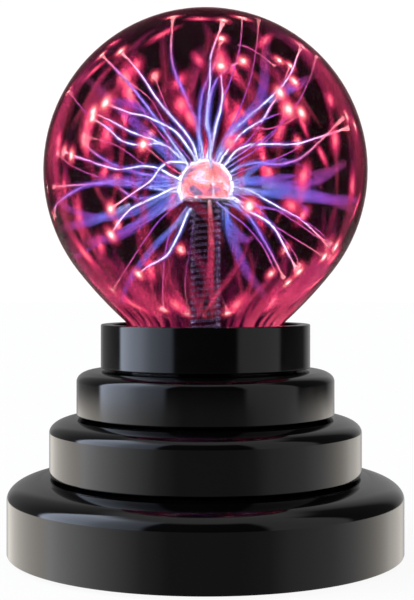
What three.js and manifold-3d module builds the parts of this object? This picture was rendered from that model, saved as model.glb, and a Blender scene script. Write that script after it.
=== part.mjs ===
// A desk plasma ball: a gas-filled glass globe with a glowing ball electrode at its centre, held in
// the collar of a stepped gloss-black base. The base holds a high-voltage supply, four AAA cells behind
// a door in its floor, and a rocker switch and a power socket at the back.
// Millimetres, +Z up. The origin is the centre of the base on the table; the front faces -Y.

import * as THREE from "three";
import { mergeVertices } from "three/addons/utils/BufferGeometryUtils.js";
import Module from "manifold-3d";

const wasm = await Module();
wasm.setup();

// ---- Driving dimensions -------------------------------------------------------------------------

const GAP = 0.3; // between two pieces that touch on the bench

// Base. Each tier: outer radius, height of its foot and of its top at the inner edge, fall of the top
// to its rounded shoulder, and the shoulder's quarter ellipse.
const FLOOR = 1.0; // underside of the base above the table, the height of the feet that shows
const WALL = 2.0;
const BASE = { radius: 48.4, foot: FLOOR, top: 19.6, fall: 0.5, shoulder: [8.5, 4.8] };
const TIER_THREE = { radius: 38.2, foot: 19.9, top: 34.0, fall: 0.4, shoulder: [6.5, 3.4] };
const TIER_TWO = { radius: 31.6, foot: 34.3, top: 45.4, fall: 0.3, shoulder: [4.0, 2.6] };
const COLLAR = { radius: 25.7, foot: 45.7, top: 56.4, rim: 2.5 };
const SPIGOT_DEPTH = 3.2; // each tier plugs this far into the one below
const SPIGOT_STEP = 2.3; // and its spigot is this much smaller than its wall

// Globe: a blown ball that runs through a slack cone into a straight neck.
const GLOBE = { radius: 40, centre: 93.8, wall: 1.2, coneRadius: 100, filletRadius: 8, neckFoot: 44.5 };
const CONE_FROM = THREE.MathUtils.degToRad(-38);
const CONE_TO = THREE.MathUtils.degToRad(-47.5);

// Electrode: a small glass ball on a glass tube that flares out to close the globe's neck.
const ELECTRODE = { radius: 7, centre: 90.1, flat: 86.7, wall: 0.9, tube: 4.9, flareTop: 51, flareFoot: 46 };
const BULB_WALL = 0.5; // the blown ball is thinner than its tube
const SPRING = { radius: 3.4, wire: 0.25, pitch: 1.55, from: 50, to: 86 };
const INSULATOR = { radius: 2.6, bore: 1.4, from: 48, to: 86.2 };

// Battery bay in the bottom cover, for four AAA cells lying along X.
const CELL = { radius: 5.1, length: 44.5, nub: 1.0, nubRadius: 1.9, pitch: 10.7, height: 9.0 };
const BAY = { x: 25.5, y: 22.3, wall: 1.2, ceiling: 14.8 };
const COVER = { radius: 45.8, top: 3.4 };
const DOOR = { thickness: 1.8 };
const TONGUE = { x: 15, width: 7, reach: 2.6, foot: 3.7, top: 4.7 }; // the door's two hinge hooks
const DOOR_TAB = { halfWidth: 5, reach: 6.6, top: 2.6 };
const DOOR_SCREW_Y = BAY.y - GAP + 4;
const FEET = { radius: 4.0, top: 1.6, at: 28.3 };
const COVER_SCREW = { x: 38, y: 14, head: 2.6, shank: 1.0, tip: 12 };

// Rear panel: a flat recess in the base's wall for the switch and the socket.
const PANEL = { face: 44.6, halfWidth: 17.4, ledgeHalfWidth: 13.2, foot: 2.1, top: 13.5, thickness: 2.0 };
const SWITCH = { x: -8, z: 7.8, bezel: [15.4, 10.4], body: [12.9, 8.2], back: 33.6, bezelFace: 45.7 };
const ROCKER = { halfLength: 5.3, halfHeight: 3.3, pivot: 43.4, restTilt: THREE.MathUtils.degToRad(11) };
const SOCKET = { x: 10.5, z: 7.8, body: [9, 8], back: 33.4, nozzle: 3.3, bore: 1.9, pin: 0.65 };

// Circuit board and what stands on it.
const BOARD = { x: 48, y: 38, foot: 18.0, thickness: 1.6 };
const BOARD_SCREW = { x: 20.5, y: 15.5 };
const WIRE = 0.7; // radius of a lead over its insulation

// ---- Materials ----------------------------------------------------------------------------------

function material(color, roughness, metalness, more = {}) {
  return new THREE.MeshStandardMaterial({ color, roughness, metalness, ...more });
}

const MATERIALS = {
  glossBlack: material(0x08080a, 0.08, 0),
  satinBlack: material(0x121214, 0.5, 0),
  globeGlass: material(0x2a0a1c, 0.02, 0, { transparent: true, opacity: 0.35 }),
  stemGlass: material(0xc9b8d8, 0.05, 0, { transparent: true, opacity: 0.35 }),
  glowLining: material(0xff7a66, 0.6, 0),
  springSteel: material(0xb4b0b8, 0.3, 1),
  blackSleeve: material(0x0b090c, 0.6, 0),
  blackRubber: material(0x141414, 0.85, 0),
  boardGreen: material(0x1d5a35, 0.45, 0),
  ferrite: material(0x2b2a2c, 0.7, 0),
  copper: material(0xb8672f, 0.35, 1),
  aluminium: material(0xb9bcc0, 0.35, 1),
  epoxy: material(0x1a1a1c, 0.55, 0),
  capSleeve: material(0x1c2f6b, 0.4, 0),
  filmCap: material(0x9c3b22, 0.4, 0),
  cellSleeve: material(0x3e6f8c, 0.3, 0.2),
  nickel: material(0xc8c4b8, 0.25, 1),
  zincScrew: material(0xa9abad, 0.3, 1),
  redWire: material(0xb5221d, 0.45, 0),
  blackWire: material(0x161616, 0.45, 0),
  whiteWire: material(0xd9d6cc, 0.45, 0),
};

// ---- Geometry helpers ---------------------------------------------------------------------------

// Points on a quarter or any other stretch of an ellipse, in a profile's (radius, height) plane.
function arc(centre, radii, from, to, steps) {
  return Array.from({ length: steps + 1 }, (_, i) => {
    const angle = from + ((to - from) * i) / steps;
    return [centre[0] + radii[0] * Math.cos(angle), centre[1] + radii[1] * Math.sin(angle)];
  });
}

// A closed profile of (radius, height) points turned about Z, with its faces pointing out.
function turned(profile, segments) {
  const points = profile.map(([radius, height]) => new THREE.Vector2(radius, height));
  if (THREE.ShapeUtils.area(points) < 0) points.reverse();
  const closes = points[0].x > 0 || points.at(-1).x > 0;
  if (closes) points.push(points[0].clone());
  return new THREE.LatheGeometry(points, segments).rotateX(Math.PI / 2);
}

function box(x, y, z) {
  const size = new THREE.Vector3(x[1] - x[0], y[1] - y[0], z[1] - z[0]);
  const middle = [(x[0] + x[1]) / 2, (y[0] + y[1]) / 2, (z[0] + z[1]) / 2];
  return new THREE.BoxGeometry(size.x, size.y, size.z).translate(...middle);
}

// An upright cylinder from one height to another.
function post(x, y, radius, from, to, segments = 12) {
  return new THREE.CylinderGeometry(radius, radius, to - from, segments)
    .rotateX(Math.PI / 2)
    .translate(x, y, (from + to) / 2);
}

// A cylinder that lies along Y.
function rodAlongY(x, z, radius, from, to, segments = 12) {
  return new THREE.CylinderGeometry(radius, radius, to - from, segments).translate(x, (from + to) / 2, z);
}

// A closed tube of round section along a curve.
function tubeAlong(curve, radius, steps, sides) {
  const section = new THREE.Shape();
  for (let i = 0; i < sides; i++) {
    const angle = (2 * Math.PI * i) / sides;
    const point = [radius * Math.cos(angle), radius * Math.sin(angle)];
    if (i === 0) section.moveTo(...point);
    else section.lineTo(...point);
  }
  return new THREE.ExtrudeGeometry(section, { steps, extrudePath: curve, curveSegments: sides });
}

function solid(geometry) {
  const bare = geometry.clone();
  bare.deleteAttribute("normal");
  bare.deleteAttribute("uv");
  const merged = mergeVertices(bare, 1e-3);
  return new wasm.Manifold(
    new wasm.Mesh({
      numProp: 3,
      vertProperties: merged.attributes.position.array,
      triVerts: new Uint32Array(merged.index.array),
    }),
  );
}

function geometryOf(manifold) {
  const mesh = manifold.getMesh();
  const geometry = new THREE.BufferGeometry();
  geometry.setAttribute("position", new THREE.BufferAttribute(mesh.vertProperties, 3));
  geometry.setIndex(new THREE.BufferAttribute(mesh.triVerts, 1));
  geometry.computeVertexNormals();
  return geometry;
}

// One geometry with others joined to it and then others cut from it.
function built(geometry, joined, cut) {
  const whole = joined.reduce((made, more) => made.add(solid(more)), solid(geometry));
  return geometryOf(cut.reduce((made, less) => made.subtract(solid(less)), whole));
}

const assembly = new THREE.Group();

function add(name, geometry, finish) {
  const mesh = new THREE.Mesh(geometry, finish);
  mesh.name = name;
  assembly.add(mesh);
  return mesh;
}

// ---- Globe and electrode ------------------------------------------------------------------------

// The globe's meridian, set in by some depth from its outer skin, from the top pole down to the neck.
function globeMeridian(inset, steps) {
  const radius = GLOBE.radius - inset;
  const coneRadius = GLOBE.coneRadius - inset;
  const filletRadius = GLOBE.filletRadius + inset;
  const lean = GLOBE.coneRadius - GLOBE.radius;
  const coneCentre = [-lean * Math.cos(CONE_FROM), GLOBE.centre - lean * Math.sin(CONE_FROM)];
  const filletReach = GLOBE.coneRadius + GLOBE.filletRadius;
  const filletCentre = [
    coneCentre[0] + filletReach * Math.cos(CONE_TO),
    coneCentre[1] + filletReach * Math.sin(CONE_TO),
  ];
  const ball = arc([0, GLOBE.centre], [radius, radius], Math.PI / 2, CONE_FROM, steps);
  ball[0][0] = 0;
  const cone = arc(coneCentre, [coneRadius, coneRadius], CONE_FROM, CONE_TO, 2).slice(1);
  const fillet = arc(filletCentre, [-filletRadius, -filletRadius], CONE_TO, 0, 3).slice(1);
  return [...ball, ...cone, ...fillet, [filletCentre[0] - filletRadius, GLOBE.neckFoot]];
}

function addGlobe() {
  const outer = globeMeridian(0, 11);
  const inner = globeMeridian(GLOBE.wall, 9);
  add("globe_glass", turned([...outer, ...inner.reverse()], 36), MATERIALS.globeGlass);
}

function addElectrode() {
  const { radius, centre, flat, wall, tube, flareTop, flareFoot } = ELECTRODE;
  const neckBore = globeMeridian(GLOBE.wall, 1).at(-1)[0];
  const flareRadius = neckBore - GAP;
  const under = Math.asin((flat - centre) / radius);
  const outerBall = arc([0, centre], [radius, radius], Math.PI / 2, under, 6);
  const innerRadius = radius - BULB_WALL;
  const innerBall = arc([0, centre], [innerRadius, innerRadius], Math.PI / 2, under * 0.8, 6);
  outerBall[0][0] = 0;
  innerBall[0][0] = 0;
  const flareDrop = flareTop - flareFoot;
  const flare = arc([flareRadius, flareTop], [flareRadius - tube, flareDrop], Math.PI, 1.5 * Math.PI, 3);
  const bore = tube - wall;
  const innerFlareAt = [flareRadius, flareTop - wall];
  const innerFlare = arc(innerFlareAt, [flareRadius - bore, flareDrop], Math.PI, 1.5 * Math.PI, 3);
  const profile = [
    ...outerBall,
    [tube, flat - 0.4],
    ...flare,
    ...innerFlare.reverse(),
    [bore, flat + 0.3],
    ...innerBall.reverse(),
  ];
  add("electrode_glass", turned(profile, 16), MATERIALS.stemGlass);

  const liningRadius = innerRadius - GAP;
  const liningFoot = flat + 1.0;
  const liningAngle = Math.asin((liningFoot - centre) / liningRadius);
  const lining = arc([0, centre], [liningRadius, liningRadius], Math.PI / 2, liningAngle, 6);
  lining[0][0] = 0;
  add("electrode_lining", turned([...lining, [0, liningFoot]], 16), MATERIALS.glowLining);
}

class Helix extends THREE.Curve {
  constructor(from, to, turns, radiusFrom, radiusTo = radiusFrom) {
    super();
    Object.assign(this, { from, to, turns, radiusFrom, radiusTo });
  }

  getPoint(t, target = new THREE.Vector3()) {
    const angle = 2 * Math.PI * this.turns * t;
    const radius = THREE.MathUtils.lerp(this.radiusFrom, this.radiusTo, t);
    const height = THREE.MathUtils.lerp(this.from, this.to, t);
    return target.set(radius * Math.cos(angle), radius * Math.sin(angle), height);
  }
}

function addStem() {
  const turns = (SPRING.to - SPRING.from) / SPRING.pitch;
  const helix = new Helix(SPRING.from, SPRING.to, turns, SPRING.radius);
  add("stem_spring", tubeAlong(helix, SPRING.wire, Math.round(turns * 6), 4), MATERIALS.springSteel);

  const { radius, bore, from, to } = INSULATOR;
  const sleeve = [[radius, from], [radius, to], [bore, to], [bore, from]];
  add("stem_insulator", turned(sleeve, 12), MATERIALS.blackSleeve);
}

// ---- Stepped base -------------------------------------------------------------------------------

// A tier's closed profile. Its top plate has a round hole for the piece above, and a tier with a
// spigot plugs into the one below.
function tierProfile({ radius, foot, top, fall, shoulder }, hole, spigot) {
  const [across, down] = shoulder;
  const side = top - fall - down;
  const centre = [radius - across, side];
  const quarter = [0, Math.PI / 2];
  const profile = [
    [radius, foot],
    ...arc(centre, [across, down], ...quarter, 4),
    [hole, top],
    [hole, top - WALL],
    ...arc(centre, [across - WALL, down - WALL], ...quarter.toReversed(), 2),
  ];
  if (!spigot) return [...profile, [radius - WALL, foot]];
  const bore = spigot - WALL;
  return [
    ...profile,
    [radius - WALL, foot + WALL],
    [bore, foot + WALL],
    [bore, foot - SPIGOT_DEPTH],
    [spigot, foot - SPIGOT_DEPTH],
    [spigot, foot],
  ];
}

const spigotOf = (tier) => tier.radius - SPIGOT_STEP;

function addCollarAndTiers() {
  const { radius, foot, top, rim } = COLLAR;
  const neckRadius = globeMeridian(0, 1).at(-1)[0];
  const seatHole = neckRadius + 0.6;
  const collarSpigot = radius - 3.6;
  const seatTop = foot + 4.6;
  const collar = [
    [radius, foot],
    [radius, top],
    [radius - rim, top],
    [radius - rim, seatTop],
    [seatHole, seatTop],
    [seatHole, seatTop - WALL],
    [collarSpigot - WALL, seatTop - WALL],
    [collarSpigot - WALL, foot - SPIGOT_DEPTH],
    [collarSpigot, foot - SPIGOT_DEPTH],
    [collarSpigot, foot],
  ];
  add("collar", turned(collar, 36), MATERIALS.glossBlack);

  const gasketOuter = radius - rim - GAP;
  const gasket = [
    [seatHole + 0.2, seatTop + GAP],
    [gasketOuter, seatTop + GAP],
    [gasketOuter, seatTop + 2.4],
    [gasketOuter - 1, seatTop + 3.1],
    [seatHole + 0.2, seatTop + 3.1],
  ];
  add("neck_gasket", turned(gasket, 24), MATERIALS.blackRubber);

  const tierTwo = tierProfile(TIER_TWO, collarSpigot + GAP, spigotOf(TIER_TWO));
  add("tier_two_ring", turned(tierTwo, 36), MATERIALS.glossBlack);
  const tierThree = tierProfile(TIER_THREE, spigotOf(TIER_TWO) + GAP, spigotOf(TIER_THREE));
  add("tier_three_ring", turned(tierThree, 36), MATERIALS.glossBlack);
}

const corners = (x, y) => [[x, y], [-x, y], [-x, -y], [x, -y]];

function addBaseShell() {
  const { face, halfWidth, ledgeHalfWidth, foot, top, thickness } = PANEL;
  const shell = turned(tierProfile(BASE, spigotOf(TIER_THREE) + GAP), 48);
  const bossTop = BASE.top - 1.6;
  const screwPlaces = corners(COVER_SCREW.x, COVER_SCREW.y);
  const bosses = screwPlaces.map(([x, y]) => post(x, y, 3, COVER.top + GAP, bossTop));
  const pilots = screwPlaces.map(([x, y]) => post(x, y, 1.4, 0, COVER_SCREW.tip + 1, 8));
  const backing = box([-halfWidth - 1, halfWidth + 1], [face - thickness, face], [FLOOR, top + 1]);
  const ledges = box([-ledgeHalfWidth, ledgeHalfWidth], [face - 1, face + 1.8], [FLOOR, top + 1]);
  const recess = box([-halfWidth, halfWidth], [face, BASE.radius + 1], [foot, top]);
  const [bodyX, bodyZ] = SWITCH.body.map((size) => size / 2 + GAP);
  const switchHole = box(
    [SWITCH.x - bodyX, SWITCH.x + bodyX],
    [face - thickness - 4, face + 1],
    [SWITCH.z - bodyZ, SWITCH.z + bodyZ],
  );
  const socketHole = rodAlongY(SOCKET.x, SOCKET.z, SOCKET.nozzle + GAP, face - thickness - 4, face + 1, 16);
  const geometry = built(shell, [...bosses, backing, ledges], [recess, switchHole, socketHole, ...pilots]);
  add("base_shell", geometry, MATERIALS.glossBlack);
}

// ---- Bottom cover, feet, door and cells ---------------------------------------------------------

const bayFront = -BAY.y;

function addBottomCover() {
  const { x, y, wall, ceiling } = BAY;
  const plate = turned([[0, FLOOR], [COVER.radius, FLOOR], [COVER.radius, COVER.top], [0, COVER.top]], 40);
  const well = box([-x - wall, x + wall], [-y - wall, y + wall], [COVER.top - 0.5, ceiling + wall]);
  const screwBoss = post(0, DOOR_SCREW_Y, 3, COVER.top - 0.4, COVER.top + 4.5);
  const boardPosts = corners(BOARD_SCREW.x, BOARD_SCREW.y)
    .filter(([px, py]) => px * py > 0)
    .map(([px, py]) => post(px, py, 2.2, ceiling + wall - 0.2, BOARD.foot - GAP));
  const bay = box([-x, x], [-y, y], [FLOOR - 1, ceiling]);
  const tabNotch = box(
    [-DOOR_TAB.halfWidth - GAP, DOOR_TAB.halfWidth + GAP],
    [y - 1, y + DOOR_TAB.reach],
    [FLOOR - 1, DOOR_TAB.top + GAP],
  );
  const tongueSlots = [-TONGUE.x, TONGUE.x].map((at) =>
    box(
      [at - TONGUE.width / 2 - GAP, at + TONGUE.width / 2 + GAP],
      [-y - wall - 2, -y + 1],
      [COVER.top, TONGUE.top + 2],
    ),
  );
  const footHoles = corners(FEET.at, FEET.at).map(([px, py]) =>
    post(px, py, FEET.radius + GAP, FLOOR - 1, FEET.top + GAP, 16),
  );
  const screwHoles = corners(COVER_SCREW.x, COVER_SCREW.y).flatMap(([px, py]) => [
    post(px, py, COVER_SCREW.head + 0.4, FLOOR - 1, FLOOR + 1.5),
    post(px, py, COVER_SCREW.shank + 0.5, FLOOR, COVER.top + 1, 8),
  ]);
  const doorPilot = post(0, DOOR_SCREW_Y, 1.3, FLOOR, COVER.top + 3.5, 8);
  const panelEdge = PANEL.face - PANEL.thickness - GAP;
  const panelCut = box([-COVER.radius, COVER.radius], [panelEdge, COVER.radius + 1], [0, COVER.top + 1]);
  const geometry = built(
    plate,
    [well, screwBoss, ...boardPosts],
    [bay, tabNotch, ...tongueSlots, ...footHoles, ...screwHoles, doorPilot, panelCut],
  );
  add("bottom_cover", geometry, MATERIALS.satinBlack);

  const footNames = ["rear_right", "rear_left", "front_left", "front_right"];
  corners(FEET.at, FEET.at).forEach(([px, py], i) => {
    add(`foot_${footNames[i]}`, post(px, py, FEET.radius, 0, FEET.top, 16), MATERIALS.blackRubber);
  });
}

// A pan-head screw that stands head down, with its head's underside as its seat.
function screw(x, y, headRadius, headFoot, headTop, shankRadius, tip) {
  const profile = [
    [0, headFoot],
    [headRadius * 0.7, headFoot],
    [headRadius, headFoot + 0.4],
    [headRadius, headTop],
    [shankRadius, headTop],
    [shankRadius, tip - 1.2],
    [0, tip],
  ];
  return turned(profile, 10).translate(x, y, 0);
}

function addCoverScrews() {
  const { x, y, head, shank, tip } = COVER_SCREW;
  corners(x, y).forEach(([px, py], i) => {
    const geometry = screw(px, py, head, FLOOR + 0.2, FLOOR + 1.2, shank, tip);
    add(`cover_screw_${i + 1}`, geometry, MATERIALS.zincScrew);
  });
}

// The door lies in the cover's opening. Two tongues on its front edge hook over the cover, and it
// swings down about its front lower edge once the screw in its rear tab is undone.
function addBatteryDoor() {
  const halfX = BAY.x - GAP;
  const halfY = BAY.y - GAP;
  const inner = FLOOR + DOOR.thickness;
  const plate = box([-halfX, halfX], [-halfY, halfY], [FLOOR, inner]);
  const tab = box(
    [-DOOR_TAB.halfWidth, DOOR_TAB.halfWidth],
    [halfY - 1, BAY.y + DOOR_TAB.reach - GAP],
    [FLOOR, DOOR_TAB.top],
  );
  const hooks = [-TONGUE.x, TONGUE.x].flatMap((at) => {
    const x = [at - TONGUE.width / 2, at + TONGUE.width / 2];
    return [
      box(x, [-halfY + 0.1, -halfY + 1.3], [inner - 0.2, TONGUE.top]),
      box(x, [bayFront - TONGUE.reach, -halfY + 1.3], [TONGUE.foot, TONGUE.top]),
    ];
  });
  const headHole = post(0, DOOR_SCREW_Y, 2.4, FLOOR - 1, FLOOR + 0.9);
  const shankHole = post(0, DOOR_SCREW_Y, 1.2, FLOOR, COVER.top, 8);
  add("battery_door", built(plate, [tab, ...hooks], [headHole, shankHole]), MATERIALS.satinBlack);

  add("door_screw", screw(0, DOOR_SCREW_Y, 2.0, FLOOR + 0.05, FLOOR + 0.6, 0.85, 6), MATERIALS.zincScrew);
}

// Cells 1 and 3 point their nubs to -X, cells 2 and 4 to +X, so that plates join them in series.
function addCells() {
  const { radius, length, nub, nubRadius, pitch, height } = CELL;
  const body = length - nub;
  const profile = [
    [0, 0],
    [radius - 0.5, 0],
    [radius, 0.5],
    [radius, body - 0.5],
    [radius - 0.5, body],
    [nubRadius, body],
    [nubRadius, length],
    [0, length],
  ];
  const plateGap = 0.6 + GAP; // plate thickness and the gaps around it
  const springLength = 2 * BAY.x - length - 2 * plateGap - GAP;
  for (let i = 0; i < 4; i++) {
    const y = (i - 1.5) * pitch;
    const side = i % 2 === 0 ? -1 : 1;
    const turn = side * (Math.PI / 2);
    const start = side * (BAY.x - plateGap - length);
    const cell = turned(profile, 14).rotateY(turn).translate(start, y, height);
    add(`cell_${i + 1}`, cell, MATERIALS.cellSleeve);

    const helix = new Helix(0, springLength - 0.6, 3.5, 3.4, 2.2);
    const spring = tubeAlong(helix, 0.25, 24, 4)
      .rotateY(turn)
      .translate(-side * (BAY.x - plateGap - 0.35), y, height);
    add(`contact_spring_${i + 1}`, spring, MATERIALS.nickel);
  }
}

function addContactPlates() {
  const { pitch, height } = CELL;
  const single = 8;
  const plate = (side, y, width) => {
    const outer = BAY.x - GAP;
    const x = side < 0 ? [-outer, -outer + 0.4] : [outer - 0.4, outer];
    return box(x, [y - width / 2, y + width / 2], [height - 4, height + 4]);
  };
  const plates = [
    ["positive", plate(-1, -1.5 * pitch, single)],
    ["bridge_1_2", plate(1, -pitch, pitch + single)],
    ["bridge_2_3", plate(-1, 0, pitch + single)],
    ["bridge_3_4", plate(1, pitch, pitch + single)],
    ["negative", plate(-1, 1.5 * pitch, single)],
  ];
  plates.forEach(([name, geometry]) => add(`contact_plate_${name}`, geometry, MATERIALS.nickel));
}

// ---- Electronics --------------------------------------------------------------------------------

const boardTop = BOARD.foot + BOARD.thickness;
const onBoard = boardTop + GAP;

function addBoard() {
  const plate = box([-BOARD.x / 2, BOARD.x / 2], [-BOARD.y / 2, BOARD.y / 2], [BOARD.foot, boardTop]);
  const screwPlaces = corners(BOARD_SCREW.x, BOARD_SCREW.y).filter(([x, y]) => x * y > 0);
  const holes = screwPlaces.map(([x, y]) => post(x, y, 1.3, BOARD.foot - 1, boardTop + 1, 8));
  add("circuit_board", built(plate, [], holes), MATERIALS.boardGreen);

  screwPlaces.forEach(([x, y], i) => {
    const profile = [
      [0, BOARD.foot + 0.1],
      [0.9, BOARD.foot + 0.1],
      [0.9, onBoard],
      [2.2, onBoard],
      [2, onBoard + 1.3],
      [0, onBoard + 1.5],
    ];
    add(`board_screw_${i + 1}`, turned(profile, 10).translate(x, y, 0), MATERIALS.zincScrew);
  });
}

const TRANSFORMER = { x: 7, y: 6, halfLength: 10, halfDepth: 2.5, height: 15, leg: 4.5, winding: 5.6 };

// A rectangular ferrite ring with the high-voltage winding round its upper leg.
function addTransformer() {
  const { x, y, halfLength, halfDepth, height, leg, winding } = TRANSFORMER;
  const depth = [y - halfDepth, y + halfDepth];
  const ring = box([x - halfLength, x + halfLength], depth, [onBoard, onBoard + height]);
  const window = box(
    [x - halfLength + leg, x + halfLength - leg],
    [depth[0] - 1, depth[1] + 1],
    [onBoard + leg, onBoard + height - leg],
  );
  add("transformer_core", built(ring, [], [window]), MATERIALS.ferrite);

  const axis = onBoard + height - leg / 2;
  const half = halfLength - leg - GAP;
  const drum = new THREE.CylinderGeometry(winding, winding, 2 * half, 20)
    .rotateZ(Math.PI / 2)
    .translate(x, y, axis);
  const slot = box(
    [x - halfLength, x + halfLength],
    [depth[0] - GAP, depth[1] + GAP],
    [axis - leg / 2 - GAP, axis + leg / 2 + GAP],
  );
  add("transformer_winding", built(drum, [], [slot]), MATERIALS.copper);
}

function addBoardParts() {
  const sinkX = -16;
  const fin = box([sinkX, sinkX + 1.6], [-4, 14], [onBoard, onBoard + 15]);
  const flange = box([sinkX - 5, sinkX + 1.6], [-4, 14], [onBoard + 13.4, onBoard + 15]);
  add("heat_sink", built(fin, [flange], []), MATERIALS.aluminium);

  const tab = sinkX + 1.6 + GAP;
  const transistor = box([tab, tab + 4.4], [0, 10], [onBoard + 2.5, onBoard + 11.5]);
  const legs = [2.2, 5, 7.8].map((y) =>
    box([tab + 1.8, tab + 2.6], [y - 0.5, y + 0.5], [onBoard, onBoard + 3]),
  );
  add("power_transistor", built(transistor, legs, []), MATERIALS.epoxy);

  const can = [[0, onBoard], [4, onBoard], [4, onBoard + 11], [3.5, onBoard + 11.5], [0, onBoard + 11.5]];
  add("smoothing_capacitor", turned(can, 14).translate(-7, -11.5, 0), MATERIALS.capSleeve);
  add("film_capacitor", box([5, 16], [-14, -9], [onBoard, onBoard + 8.5]), MATERIALS.filmCap);
}

function addSwitch() {
  const { x, z, bezel, body, back, bezelFace } = SWITCH;
  const [bezelX, bezelZ] = bezel.map((size) => size / 2);
  const [bodyX, bodyZ] = body.map((size) => size / 2);
  const bezelFoot = PANEL.face + GAP;
  const housing = box([x - bodyX, x + bodyX], [back, bezelFace], [z - bodyZ, z + bodyZ]);
  const frame = box([x - bezelX, x + bezelX], [bezelFoot, bezelFace], [z - bezelZ, z + bezelZ]);
  const pocketX = ROCKER.halfLength + 0.75;
  const pocketZ = ROCKER.halfHeight + 0.35;
  const pocket = box(
    [x - pocketX, x + pocketX],
    [ROCKER.pivot - 4.6, bezelFace + 1],
    [z - pocketZ, z + pocketZ],
  );
  add("switch_body", built(housing, [frame], [pocket]), MATERIALS.satinBlack);

  // The paddle's outline seen from above, about its pivot: a shallow valley outside, a round belly inside.
  const paddle = new THREE.Shape();
  paddle.moveTo(-ROCKER.halfLength, 0.9);
  paddle.lineTo(-ROCKER.halfLength, 3.2);
  paddle.quadraticCurveTo(0, 1.7, ROCKER.halfLength, 3.2);
  paddle.lineTo(ROCKER.halfLength, 0.9);
  paddle.absarc(0, 0, 3, 0, -Math.PI, true);
  const bore = new THREE.Path();
  bore.absarc(0, 0, 0.95, 0, 2 * Math.PI, false);
  paddle.holes.push(bore);
  const rocker = new THREE.ExtrudeGeometry(paddle, {
    depth: 2 * ROCKER.halfHeight,
    bevelEnabled: false,
    curveSegments: 6,
  })
    .translate(0, 0, -ROCKER.halfHeight)
    .rotateZ(ROCKER.restTilt)
    .translate(x, ROCKER.pivot, z);
  add("power_rocker", rocker, MATERIALS.glossBlack);

  const pinHalf = pocketZ - 0.1;
  add("rocker_pivot_pin", post(x, ROCKER.pivot, 0.7, z - pinHalf, z + pinHalf, 10), MATERIALS.zincScrew);

  [-3.5, 3.5].forEach((offset, i) => {
    const blade = box([x + offset - 0.4, x + offset + 0.4], [back - 5.3, back - GAP], [z - 1.6, z + 1.6]);
    add(`switch_terminal_${i + 1}`, blade, MATERIALS.nickel);
  });
}

function addSocket() {
  const { x, z, body, back, nozzle, bore, pin } = SOCKET;
  const [halfX, halfZ] = body.map((size) => size / 2);
  const front = PANEL.face - PANEL.thickness - GAP;
  const face = PANEL.face - 0.2;
  const block = box([x - halfX, x + halfX], [back, front], [z - halfZ, z + halfZ]);
  const barrel = rodAlongY(x, z, nozzle, front - 0.5, face, 16);
  const hole = rodAlongY(x, z, bore, back + 2, face + 1, 12);
  add("dc_socket", built(block, [barrel], [hole]), MATERIALS.satinBlack);
  add("dc_socket_pin", rodAlongY(x, z, pin, back + 2 + GAP, face - 1, 8), MATERIALS.nickel);
}

// A wire through hand-placed points, drawn out along a smooth curve.
function addLead(name, points, finish, steps = 14) {
  const curve = new THREE.CatmullRomCurve3(points.map((point) => new THREE.Vector3(...point)));
  add(name, tubeAlong(curve, WIRE, steps, 6), finish);
}

function addLeads() {
  const { x, y, height, leg, winding } = TRANSFORMER;
  const windingTop = onBoard + height - leg / 2 + winding;
  const highVoltage = [
    [x, y, windingTop + 0.6],
    [x - 1, y - 1, windingTop + 4],
    [1.2, 1, windingTop + 7],
    [0, 0, INSULATOR.from - 2],
    [0, 0, INSULATOR.from + 8],
    [0, 0, INSULATOR.to - 1],
  ];
  addLead("high_voltage_lead", highVoltage, MATERIALS.whiteWire, 22);

  const bayEnd = BAY.x + BAY.wall;
  const solder = onBoard + 1.6;
  const batteryLeads = [
    ["positive", -16, -8, MATERIALS.redWire],
    ["negative", 16, 2, MATERIALS.blackWire],
  ];
  batteryLeads.forEach(([name, from, to, finish]) => {
    const route = [
      [-bayEnd - 1, from, 8],
      [-bayEnd - 1.6, (2 * from + to) / 3, 14],
      [-bayEnd - 0.2, (from + 2 * to) / 3, 20.5],
      [-BOARD.x / 2 + 2, to, solder],
    ];
    addLead(`battery_lead_${name}`, route, finish);
  });

  const switchX = SWITCH.x - 4;
  const switchRoute = [
    [SWITCH.x - 3.5, SWITCH.back - 6.4, SWITCH.z],
    [switchX, SWITCH.back - 8, 13],
    [switchX, 22.5, 20.5],
    [switchX, 16.5, solder],
  ];
  addLead("switch_lead", switchRoute, MATERIALS.redWire);
  const socketRoute = [
    [SOCKET.x, SOCKET.back - 0.6, SOCKET.z + 2],
    [SOCKET.x, 28, 13],
    [SOCKET.x, 22.5, 20.5],
    [SOCKET.x, 16, solder],
  ];
  addLead("socket_lead", socketRoute, MATERIALS.blackWire);
}

// ---- Assembly -----------------------------------------------------------------------------------

addGlobe();
addElectrode();
addStem();
addCollarAndTiers();
addBaseShell();
addBottomCover();
addCoverScrews();
addBatteryDoor();
addCells();
addContactPlates();
addBoard();
addTransformer();
addBoardParts();
addSwitch();
addSocket();
addLeads();

export default assembly;
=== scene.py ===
"""A desk plasma ball: a globe full of glowing arcs in the collar of a stepped gloss-black base.

Pieces are drawn in millimetres, with the origin under the middle of the base and the front facing -Y,
and brought to metres as each one is finished.
"""

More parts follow.
